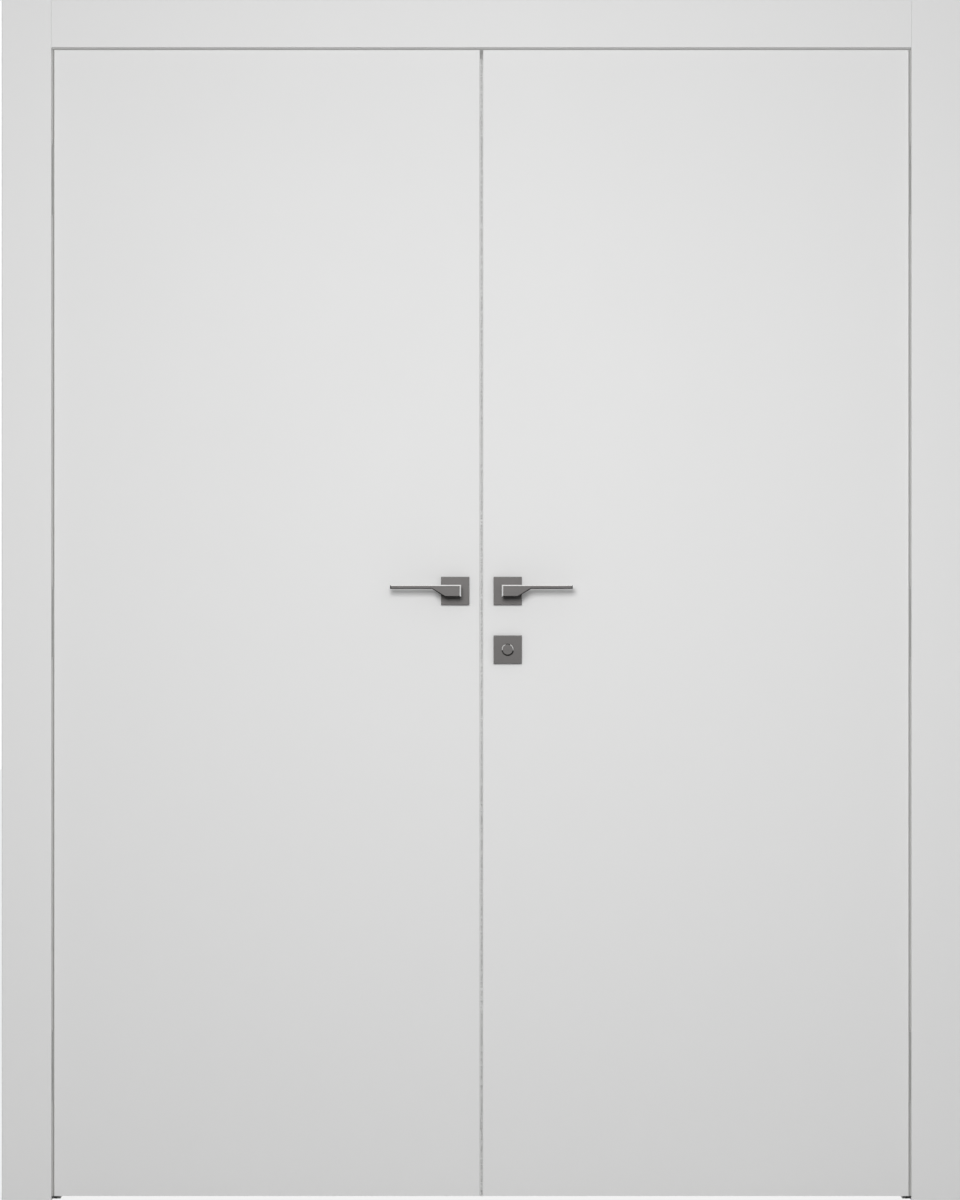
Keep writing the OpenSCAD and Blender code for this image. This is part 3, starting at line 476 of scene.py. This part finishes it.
def grow(piece, tree, inputs):
    """Runs a Geometry Nodes tree on a piece, its inputs set by their sockets' identifiers."""
    modifier = piece.modifiers.new(tree.name, "NODES")
    modifier.node_group = tree
    for item in tree.interface.items_tree:
        if item.in_out == "INPUT" and item.name in inputs:
            modifier[item.identifier] = inputs[item.name]
    plain_mesh(piece)


def shade_by_angle(piece):
    piece.data.shade_smooth()
    piece.data.set_sharp_from_angle(angle=EDGE_ANGLE)


def stand_for(piece, node):
    """Puts a piece in a CAD node's place, on its body, and hides the node."""
    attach(piece, body_with(node))
    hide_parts(node)
    slot_of(node)


# ---------------------------------------------------------------- eased metal pieces

SAME_POINT = 0.002 * MM
FLAT_ANGLE = math.radians(0.5)
EDGE_ANGLE = math.radians(28)
EASE_SEGMENTS = 2
EASE_PROFILE = 0.5
FACE_WEIGHT = 100

CHAMFER_LEAN = (0.5, 0.9)
# How far a bevel must face up or inward to get the lever's painted highlight.
HIGHLIGHT_FACING = 0.3
TOP_CUT_EXTRA = 0.2 * MM
END_CUT_EXTRA = 0.9 * MM
CUT_TOLERANCE = 0.01 * MM
RIM_LEAN = (0.15, 0.93)
# Rise of the rim faces on a turn that get a painted highlight.
TURN_HIGHLIGHT_RISE = (math.radians(-8), math.radians(62))

LEVER_EASE = 0.15 * MM
TURN_EASE = 0.10 * MM
ROSETTE_EASE = 0.25 * MM
PLATE_EASE = 0.25 * MM
CASTING_EASE = 0.35 * MM
EASED_PLATES = ("lock_faceplate", "bolt_keeper", "latch_bolt", "dead_bolt")


def merged_copy(node):
    """A CAD node's mesh with its loose triangles joined into clean faces."""
    mesh = bmesh.new()
    mesh.from_mesh(NODES[node].data)
    bmesh.ops.remove_doubles(mesh, verts=mesh.verts, dist=SAME_POINT)
    bmesh.ops.dissolve_limit(mesh, angle_limit=FLAT_ANGLE, verts=mesh.verts, edges=mesh.edges)
    return mesh


def ease_edges(mesh, width):
    """Rounds the sharp edges of a mesh and returns the new faces."""
    sharp = [e for e in mesh.edges if e.is_manifold and e.calc_face_angle(0) > EDGE_ANGLE]
    made = bmesh.ops.bevel(
        mesh, geom=sharp, offset=width, offset_type="OFFSET", segments=EASE_SEGMENTS,
        profile=EASE_PROFILE, affect="EDGES", clamp_overlap=True,
    )
    return made["faces"]


def mark_edges(mesh, faces):
    """Marks faces for the edge colour of the finish: painted highlight on lever and turn faces,
    rubbed wear elsewhere.
    """
    marks = mesh.faces.layers.float["eased_edge"]
    for face in faces:
        face[marks] = 1.0


def broaden(mesh, faces):
    """Draws the bevel faces that carry the painted highlight wider across the flat front of a
    lever.
    """
    front = max(abs(v.co.y) for v in mesh.verts)
    moves = {}
    for face in faces:
        at_end = abs(face.normal.x) > abs(face.normal.z)
        extra = END_CUT_EXTRA if at_end else TOP_CUT_EXTRA
        step = Vector((face.normal.x, 0.0, face.normal.z)).normalized() * -extra
        for vert in face.verts:
            steps = moves.setdefault(vert, [])
            in_front = front - abs(vert.co.y) < CUT_TOLERANCE
            if in_front and all((step - s).length > CUT_TOLERANCE for s in steps):
                steps.append(step)
    for vert, steps in moves.items():
        vert.co += sum(steps, Vector((0.0, 0.0, 0.0)))
    mesh.normal_update()


def lever_highlight_faces(mesh):
    """Bevels along the top of a lever and down the end that looks at the other leaf, which get a
    painted highlight; the lower bevels get none.
    """
    middle = sum((v.co.x for v in mesh.verts), 0.0) / len(mesh.verts)
    inward = -1.0 if middle > 0 else 1.0

    def gets_highlight(face):
        leans = CHAMFER_LEAN[0] < abs(face.normal.y) < CHAMFER_LEAN[1]
        return leans and max(face.normal.z, face.normal.x * inward) > HIGHLIGHT_FACING

    cut = [f for f in mesh.faces if gets_highlight(f)]
    broaden(mesh, cut)
    return cut


def turn_highlight_faces(mesh):
    """Faces of a turn's rim that get a painted highlight: on either side, from the middle
    upwards.
    """
    zs = [v.co.z for v in mesh.verts]
    axis_z = (min(zs) + max(zs)) / 2
    axis_x = sum(v.co.x for v in mesh.verts) / len(mesh.verts)

    def on_turn_highlight(face):
        spot = face.calc_center_median()
        rise = math.atan2(spot.z - axis_z, abs(spot.x - axis_x))
        leans = RIM_LEAN[0] < abs(face.normal.y) < RIM_LEAN[1]
        return leans and TURN_HIGHLIGHT_RISE[0] < rise < TURN_HIGHLIGHT_RISE[1]

    return [f for f in mesh.faces if on_turn_highlight(f)]


def settle_normals(piece):
    """Flat faces stay flat and eased edges shade smoothly; the result is a plain mesh."""
    piece.data.shade_smooth()
    weighted = piece.modifiers.new("even_faces", "WEIGHTED_NORMAL")
    weighted.weight = FACE_WEIGHT
    plain_mesh(piece)


def eased_piece(node, width, bright=None):
    """A copy of a CAD node with softly eased edges that stands for it.

    bright picks the faces that get a painted highlight; without it, every eased edge is marked as
    rubbed wear."""
    mesh = merged_copy(node)
    mesh.faces.layers.float.new("eased_edge")
    if bright:
        mark_edges(mesh, bright(mesh))
    eased = ease_edges(mesh, width)
    if not bright:
        mark_edges(mesh, eased)
    data = bpy.data.meshes.new(node + "_eased")
    mesh.to_mesh(data)
    mesh.free()
    data.materials.append(FINISH[finish_of(node)])
    piece = add_object(node + "_eased", data)
    settle_normals(piece)
    stand_for(piece, node)


def ease_hardware():
    for node in NODES:
        if node.endswith("_lever"):
            eased_piece(node, LEVER_EASE, lever_highlight_faces)
        elif node in TURNS:
            eased_piece(node, TURN_EASE, turn_highlight_faces)
        elif node.endswith("_rosette"):
            eased_piece(node, ROSETTE_EASE)
        elif node.endswith("_plate") or node in EASED_PLATES:
            eased_piece(node, PLATE_EASE)
        elif node.endswith("_arms"):
            eased_piece(node, CASTING_EASE)


# ---------------------------------------------------------------- Geometry Nodes helpers


def start_shape(name, source, sizes, counts, result):
    """Starts a tree that grows a result on a source; returns the tree and its inputs."""
    tree = bpy.data.node_groups.new(name, "GeometryNodeTree")
    sockets = [(source, "Geometry", None)]
    sockets += [(label, "Float", value) for label, value in sizes.items()]
    sockets += [(label, "Int", value) for label, value in counts.items()]
    sockets += [("Finish", "Material", None)]
    for label, kind, value in sockets:
        socket = tree.interface.new_socket(label, in_out="INPUT", socket_type="NodeSocket" + kind)
        if value is not None:
            socket.default_value = value
    tree.interface.new_socket(result, in_out="OUTPUT", socket_type="NodeSocketGeometry")
    return tree, put(tree, "NodeGroupInput").outputs


def end_shape(tree, geometry, finish, result):
    """Coats the finished shape and puts it out."""
    coated = put(tree, "GeometryNodeSetMaterial", {"Geometry": geometry, "Material": finish})
    put(tree, "NodeGroupOutput", {result: coated.outputs[0]})
    return tree


def vector(tree, **parts):
    return put(tree, "ShaderNodeCombineXYZ", parts).outputs[0]


def moved(tree, geometry, offset):
    return put(tree, "GeometryNodeTransform", {
        "Geometry": geometry, "Translation": offset}).outputs[0]


def add_vectors(tree, first, second):
    return put(tree, "ShaderNodeVectorMath", {0: first, 1: second}).outputs[0]


def random_number(tree, low, high, seed):
    limits = {"Min": low, "Max": high, "Seed": seed}
    node = put(tree, "FunctionNodeRandomValue", limits, data_type="FLOAT")
    return next(socket for socket in node.outputs if socket.enabled)


def set_on_points(tree, points, instance, **turned):
    """An instance on every point."""
    return put(tree, "GeometryNodeInstanceOnPoints", {
        "Points": points, "Instance": instance, **turned}).outputs[0]


def realized(tree, instances):
    return put(tree, "GeometryNodeRealizeInstances", {"Geometry": instances}).outputs[0]


# ---------------------------------------------------------------- screws

SCREW_SIZES = {
    "Head Radius": 4.0 * MM, "Shank Radius": 2.0 * MM, "Length": 25.0 * MM,
    "Recess Width": 4.4 * MM, "Recess Slot": 0.9 * MM, "Recess Depth": 1.7 * MM,
}
SCREW_SIDES = 32
SCREW_TURN_SEED = 7
HEAD_TIP_SHARE = 0.9
SHANK_ROOT_SHARE = 0.9
FIRST_SLOT_DEPTH, SECOND_SLOT_DEPTH = 1.0, 0.94
RING_TOLERANCE = 0.1 * MM
SCREWS = {
    "frame_screws_driven": "frame_screws",
    "left_leaf_screws_driven": "left_leaf_screws",
    "right_leaf_screws_driven": "right_leaf_screws",
}


def islands(mesh):
    """Groups of points that hang together, in the order of the mesh's own points."""
    seen = set()
    for start in mesh.verts:
        group, waiting = [], [start]
        while waiting:
            vert = waiting.pop()
            if vert not in seen:
                seen.add(vert)
                group.append(vert.co.copy())
                waiting += [edge.other_vert(vert) for edge in vert.link_edges]
        if group:
            yield group


def screw_place(points):
    """Middle of a screw's head face and the way it faces, from the screw's own points."""
    low = Vector([min(p[i] for p in points) for i in range(3)])
    high = Vector([max(p[i] for p in points) for i in range(3)])
    size = high - low
    run = max(range(3), key=lambda i: size[i])
    middle = (low + high) / 2

    def radius(point):
        spoke = point - middle
        spoke[run] = 0.0
        return spoke.length

    def reach(level):
        return max(radius(p) for p in points if abs(p[run] - level) < RING_TOLERANCE)

    faces_up = reach(high[run]) > reach(low[run])
    heading = Vector([0, 0, 0])
    heading[run] = 1.0 if faces_up else -1.0
    seat = middle.copy()
    seat[run] = high[run] if faces_up else low[run]
    return seat, heading


def screw_blank(tree, given):
    """Countersunk head and shank in one, its head face at height 0."""
    tip = calc(tree, "MULTIPLY", given["Shank Radius"], HEAD_TIP_SHARE)
    sink = calc(tree, "SUBTRACT", given["Head Radius"], tip)
    cone = put(tree, "GeometryNodeMeshCone", {
        "Vertices": SCREW_SIDES, "Radius Top": given["Head Radius"], "Radius Bottom": tip,
        "Depth": sink}).outputs["Mesh"]
    head = moved(tree, cone, vector(tree, Z=calc(tree, "SUBTRACT", 0.0, sink)))
    root = calc(tree, "MULTIPLY", sink, SHANK_ROOT_SHARE)
    run = calc(tree, "SUBTRACT", given["Length"], root)
    bar = put(tree, "GeometryNodeMeshCylinder", {
        "Vertices": SCREW_SIDES, "Radius": given["Shank Radius"], "Depth": run}).outputs["Mesh"]
    bar_middle = calc(tree, "SUBTRACT", calc(tree, "SUBTRACT", 0.0, root),
                      calc(tree, "MULTIPLY", run, 0.5))
    shank = moved(tree, bar, vector(tree, Z=bar_middle))
    blank = put(tree, "GeometryNodeMeshBoolean", operation="UNION", solver="EXACT")
    for part in (head, shank):
        tree.links.new(part, blank.inputs["Mesh 2"])
    return blank.outputs["Mesh"]


def recessed(tree, given, blank):
    """The blank with a cross recess in its head."""
    cross = put(tree, "GeometryNodeMeshBoolean", operation="DIFFERENCE", solver="EXACT")
    tree.links.new(blank, cross.inputs["Mesh 1"])
    wide, thin = given["Recess Width"], given["Recess Slot"]
    for along, over, share in ((wide, thin, FIRST_SLOT_DEPTH), (thin, wide, SECOND_SLOT_DEPTH)):
        deep = calc(tree, "MULTIPLY", given["Recess Depth"], 2.0 * share)
        slot = put(tree, "GeometryNodeMeshCube", {
            "Size": vector(tree, X=along, Y=over, Z=deep)}).outputs["Mesh"]
        tree.links.new(slot, cross.inputs["Mesh 2"])
    return cross.outputs["Mesh"]


def make_screw_tree():
    """One cross-recessed countersunk screw, set on every point along its heading."""
    tree, given = start_shape(
        "countersunk_screws", "Places", SCREW_SIZES, {"Turn Seed": SCREW_TURN_SEED}, "Screws")
    screw = recessed(tree, given, screw_blank(tree, given))
    heading = put(tree, "GeometryNodeInputNamedAttribute", {"Name": "heading"},
                  data_type="FLOAT_VECTOR").outputs[0]
    upright = put(tree, "FunctionNodeAlignRotationToVector", {"Vector": heading},
                  axis="Z").outputs[0]
    angle = random_number(tree, 0.0, math.tau, given["Turn Seed"])
    spin = put(tree, "FunctionNodeAxisAngleToRotation", {
        "Axis": (0, 0, 1), "Angle": angle}).outputs[0]
    facing = put(tree, "FunctionNodeRotateRotation", {
        "Rotation": upright, "Rotate By": spin}, rotation_space="LOCAL").outputs[0]
    placed = set_on_points(tree, given["Places"], screw, Rotation=facing)
    return end_shape(tree, realized(tree, placed), given["Finish"], "Screws")


def drive_screws(name, node, tree):
    """Real screws at every place where the CAD node has one, as one mesh for their body."""
    source = merged_copy(node)
    places = [screw_place(points) for points in islands(source)]
    source.free()
    piece = add_outline(name, [seat for seat, heading in places], [])
    headings = piece.data.attributes.new("heading", "FLOAT_VECTOR", "POINT").data
    for i, (seat, heading) in enumerate(places):
        headings[i].vector = heading
    grow(piece, tree, {"Turn Seed": SCREW_TURN_SEED, "Finish": FINISH["steel"]})
    shade_by_angle(piece)
    stand_for(piece, node)


# ---------------------------------------------------------------- pile strip

PILE_SIZES = {
    "Pile Length": 4.0 * MM, "Fibre Radius": 0.22 * MM, "Spacing": 1.0 * MM,
    "Row Pitch": 0.8 * MM, "Tape Width": 4.4 * MM, "Tape Thickness": 0.5 * MM, "Splay": 0.12,
}
PILE_ROWS = 4
PILE_SEED = 3
FIBRE_SIDES = 5
PILE_FROM_ROOM_FACE = 4.2 * MM
PILE_CLEARANCE = 0.35 * MM


def pile_fibres(tree, given):
    """Rows of short fibres along the path, each leaning a little to one side."""
    upright = put(tree, "GeometryNodeMeshCylinder", {
        "Vertices": FIBRE_SIDES, "Radius": given["Fibre Radius"],
        "Depth": given["Pile Length"]}).outputs["Mesh"]
    half_length = calc(tree, "MULTIPLY", given["Pile Length"], 0.5)
    fibre = put(tree, "GeometryNodeTransform", {
        "Geometry": upright, "Translation": vector(tree, X=half_length),
        "Rotation": (0, math.radians(90), 0)}).outputs[0]
    last_row = calc(tree, "SUBTRACT", given["Rows"], 1.0)
    row_span = calc(tree, "MULTIPLY", last_row, given["Row Pitch"])
    rows = put(tree, "GeometryNodeMeshLine", {
        "Count": given["Rows"], "Offset": vector(tree, Y=given["Row Pitch"]),
        "Start Location": vector(tree, Y=calc(tree, "MULTIPLY", row_span, -0.5))}).outputs[0]

    path = put(tree, "GeometryNodeMeshToCurve", {"Mesh": given["Path"]}).outputs[0]
    steps = put(tree, "GeometryNodeResampleCurve", {
        "Curve": path, "Length": given["Spacing"]}, mode="LENGTH").outputs[0]
    spots = realized(tree, set_on_points(tree, steps, rows))
    splay = given["Splay"]
    lean = random_number(tree, calc(tree, "MULTIPLY", splay, -1.0), splay, given["Seed"])
    return realized(tree, set_on_points(tree, spots, fibre, Rotation=vector(tree, Y=lean)))


def pile_tape(tree, given):
    """Thin backing tape as long as the path."""
    box = put(tree, "GeometryNodeBoundBox", {"Geometry": given["Path"]}).outputs
    run = put(tree, "ShaderNodeVectorMath", {0: box["Max"], 1: box["Min"]},
              operation="SUBTRACT").outputs[0]
    length = put(tree, "ShaderNodeSeparateXYZ", {"Vector": run}).outputs["Z"]
    half_length = vector(tree, Z=calc(tree, "MULTIPLY", length, 0.5))
    half_thick = vector(tree, X=calc(tree, "MULTIPLY", given["Tape Thickness"], 0.5))
    seat = add_vectors(tree, add_vectors(tree, box["Min"], half_length), half_thick)
    size = vector(tree, X=given["Tape Thickness"], Y=given["Tape Width"], Z=length)
    tape = put(tree, "GeometryNodeMeshCube", {"Size": size}).outputs["Mesh"]
    return moved(tree, tape, seat)


def make_pile_tree():
    """Tufts of short fibres along a path, standing on a thin backing tape."""
    tree, given = start_shape(
        "pile_strip", "Path", PILE_SIZES, {"Rows": PILE_ROWS, "Seed": PILE_SEED}, "Strip")
    strip = put(tree, "GeometryNodeJoinGeometry")
    for part in (pile_fibres(tree, given), pile_tape(tree, given)):
        tree.links.new(part, strip.inputs[0])
    return end_shape(tree, strip.outputs[0], given["Finish"], "Strip")


def stick_pile_strip():
    """Pile strip down the left leaf's meeting edge, its fibres just short of the right leaf."""
    low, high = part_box("left_leaf")
    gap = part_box("right_leaf")[0].x - high.x
    depth = low.y + PILE_FROM_ROOM_FACE
    ends = [(high.x, depth, low.z), (high.x, depth, high.z)]
    piece = add_outline("meeting_pile", ends, [(0, 1)])
    grow(piece, make_pile_tree(), {
        "Pile Length": gap - PILE_CLEARANCE, "Seed": PILE_SEED, "Finish": FINISH["pile"]})
    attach(piece, "left_leaf")


# ---------------------------------------------------------------- beads over the hinges

BEAD_RADIUS = 0.92 * MM
BEAD_SIDES = 16
BEAD_FROM_ROOM_FACE = 3.0 * MM
BEAD_OVERRUN = 1.6 * MM


def make_bead_tree():
    """A round rubber bead along every edge of its path."""
    tree, given = start_shape(
        "round_bead", "Path", {"Radius": BEAD_RADIUS}, {"Sides": BEAD_SIDES}, "Bead")
    path = put(tree, "GeometryNodeMeshToCurve", {"Mesh": given["Path"]}).outputs[0]
    ring = put(tree, "GeometryNodeCurvePrimitiveCircle", {
        "Resolution": given["Sides"], "Radius": given["Radius"]}).outputs["Curve"]
    swept = put(tree, "GeometryNodeCurveToMesh", {
        "Curve": path, "Profile Curve": ring, "Fill Caps": True}).outputs[0]
    return end_shape(tree, swept, given["Finish"], "Bead")


def hinge_spans(cups):
    """Lower and upper end of each hinge of a node of cups."""
    mesh = merged_copy(cups)
    heights = [[point.z for point in points] for points in islands(mesh)]
    mesh.free()
    return [(min(zs) - BEAD_OVERRUN, max(zs) + BEAD_OVERRUN) for zs in heights]


def lay_beads(name, body, faces, tree):
    """Beads on one body: faces holds the x of each edge face, the way it looks and its hinges."""
    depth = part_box("left_leaf")[0].y + BEAD_FROM_ROOM_FACE
    points, edges = [], []
    for face_x, outward, cups in faces:
        middle = face_x + outward * BEAD_RADIUS
        for low, high in hinge_spans(cups):
            edges.append((len(points), len(points) + 1))
            points += [(middle, depth, low), (middle, depth, high)]
    piece = add_outline(name, points, edges)
    grow(piece, tree, {"Finish": FINISH["seal"]})
    shade_by_angle(piece)
    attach(piece, body)


def cover_hinges():
    """Half of the gap is closed from the jamb and half from the leaf, so the arms swing free."""
    tree = make_bead_tree()
    left_jamb = (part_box("left_frame_cups")[1].x, 1, "left_frame_cups")
    right_jamb = (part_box("right_frame_cups")[0].x, -1, "right_frame_cups")
    left_edge = (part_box("left_leaf")[0].x, -1, "left_leaf_cups")
    right_edge = (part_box("right_leaf")[1].x, 1, "right_leaf_cups")
    lay_beads("frame_hinge_beads", "frame", [left_jamb, right_jamb], tree)
    lay_beads("left_hinge_beads", "left_leaf", [left_edge], tree)
    lay_beads("right_hinge_beads", "right_leaf", [right_edge], tree)


# ---------------------------------------------------------------- studio

WHITE = (1, 1, 1, 1)
FLOOR_REACH = 45.0
FLOOR_DARK = (0.49, 0.49, 0.49, 1)
FLOOR_PALE = (0.51, 0.51, 0.51, 1)
FLOOR_ROUGH = (0.85, 0.95)
FLOOR_TONE_SCALE = 1.5
FLOOR_WHITE_SHARE = 0.85

FILL = 0.243
# Each light's name, place, aim, width, height and watts.
FRONT_LIGHTS = (
    ("front_panel", (0.6, -2.0, 1.3), (0.6, 0.0, 1.3), 1.6, 1.6, 4.6),
    ("key", (-0.22, -4.2, 1.85), (0.0, 0.0, 1.1), 0.9, 0.9, 90.0),
)
REAR_LIGHTS = tuple(
    ("rear_panel", (side * 3.0, 3.2, 2.3), (side * 0.4, 0.0, 1.0), 1.4, 1.8, 52.0)
    for side in (-1, 1)
)

IMAGE_HEIGHT_AT_LEAF = 2.1277
IMAGE_MIDDLE = (-0.0025, 1.0638)
LENS_MM, SENSOR_MM = 300.0, 36.0
CLIP_END = 200.0


def pale_floor():
    """Matt pale floor; the camera sees most of it burnt out to white, its shadow stays."""
    material, tree, shader, position = start_material("pale_floor")
    tone = noise(tree, position, FLOOR_TONE_SCALE, detail=3.0)
    tree.links.new(mix_colours(tree, tone, FLOOR_DARK, FLOOR_PALE), shader.inputs["Base Color"])
    tree.links.new(spread(tree, tone, *FLOOR_ROUGH), shader.inputs["Roughness"])
    path = put(tree, "ShaderNodeLightPath").outputs
    seen = calc(tree, "MULTIPLY", path["Is Camera Ray"], FLOOR_WHITE_SHARE)
    white = put(tree, "ShaderNodeEmission", {"Color": WHITE, "Strength": 1.0}).outputs[0]
    both = put(tree, "ShaderNodeMixShader", {0: seen, 1: shader.outputs[0], 2: white}).outputs[0]
    tree.links.new(both, tree.nodes["Material Output"].inputs["Surface"])
    return material


def lay_floor():
    far = FLOOR_REACH
    data = bpy.data.meshes.new("floor")
    corners = [(-far, -far, 0), (far, -far, 0), (far, far, 0), (-far, far, 0)]
    data.from_pydata(corners, [], [(0, 1, 2, 3)])
    data.materials.append(pale_floor())
    floor = add_object("floor", data)


def white_surround():
    """Even fill light; the camera and reflections see plain white."""
    world = bpy.data.worlds.new("white_surround")
    world.use_nodes = True
    tree = world.node_tree
    tree.nodes.clear()
    path = put(tree, "ShaderNodeLightPath").outputs
    mirrored = calc(tree, "MAXIMUM", path["Is Glossy Ray"], path["Is Transmission Ray"])
    seen = calc(tree, "MAXIMUM", path["Is Camera Ray"], mirrored)
    light = put(tree, "ShaderNodeBackground", {"Color": WHITE, "Strength": FILL}).outputs[0]
    white = put(tree, "ShaderNodeBackground", {"Color": WHITE, "Strength": 1.0}).outputs[0]
    both = put(tree, "ShaderNodeMixShader", {0: seen, 1: light, 2: white}).outputs[0]
    put(tree, "ShaderNodeOutputWorld", {"Surface": both})
    bpy.context.scene.world = world


def soft_light(name, place, aim, width, height, power):
    data = bpy.data.lights.new(name, "AREA")
    data.shape = "RECTANGLE"
    data.size, data.size_y, data.energy = width, height, power
    lamp = add_object(name, data)
    lamp.location = place
    lamp.rotation_euler = (Vector(aim) - Vector(place)).to_track_quat("-Z", "Y").to_euler()


def set_lights():
    white_surround()
    for light in FRONT_LIGHTS + REAR_LIGHTS:
        soft_light(*light)


def set_camera():
    """Square on, from far away, as in the photograph."""
    leaf_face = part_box("left_leaf")[0].y
    distance = IMAGE_HEIGHT_AT_LEAF * LENS_MM / SENSOR_MM
    data = bpy.data.cameras.new("camera")
    data.lens, data.sensor_width = LENS_MM, SENSOR_MM
    data.clip_end = CLIP_END
    camera = add_object("camera", data)
    camera.location = (IMAGE_MIDDLE[0], leaf_face - distance, IMAGE_MIDDLE[1])
    camera.rotation_euler = (math.radians(90), 0, 0)
    bpy.context.scene.camera = camera


# ---------------------------------------------------------------- making

bpy.context.scene.view_settings.view_transform = "Standard"
coat_cad_nodes()
ease_hardware()
screw_tree = make_screw_tree()
for piece_name, cad_name in SCREWS.items():
    drive_screws(piece_name, cad_name, screw_tree)
stick_pile_strip()
cover_hinges()
lay_floor()
set_lights()
set_camera()
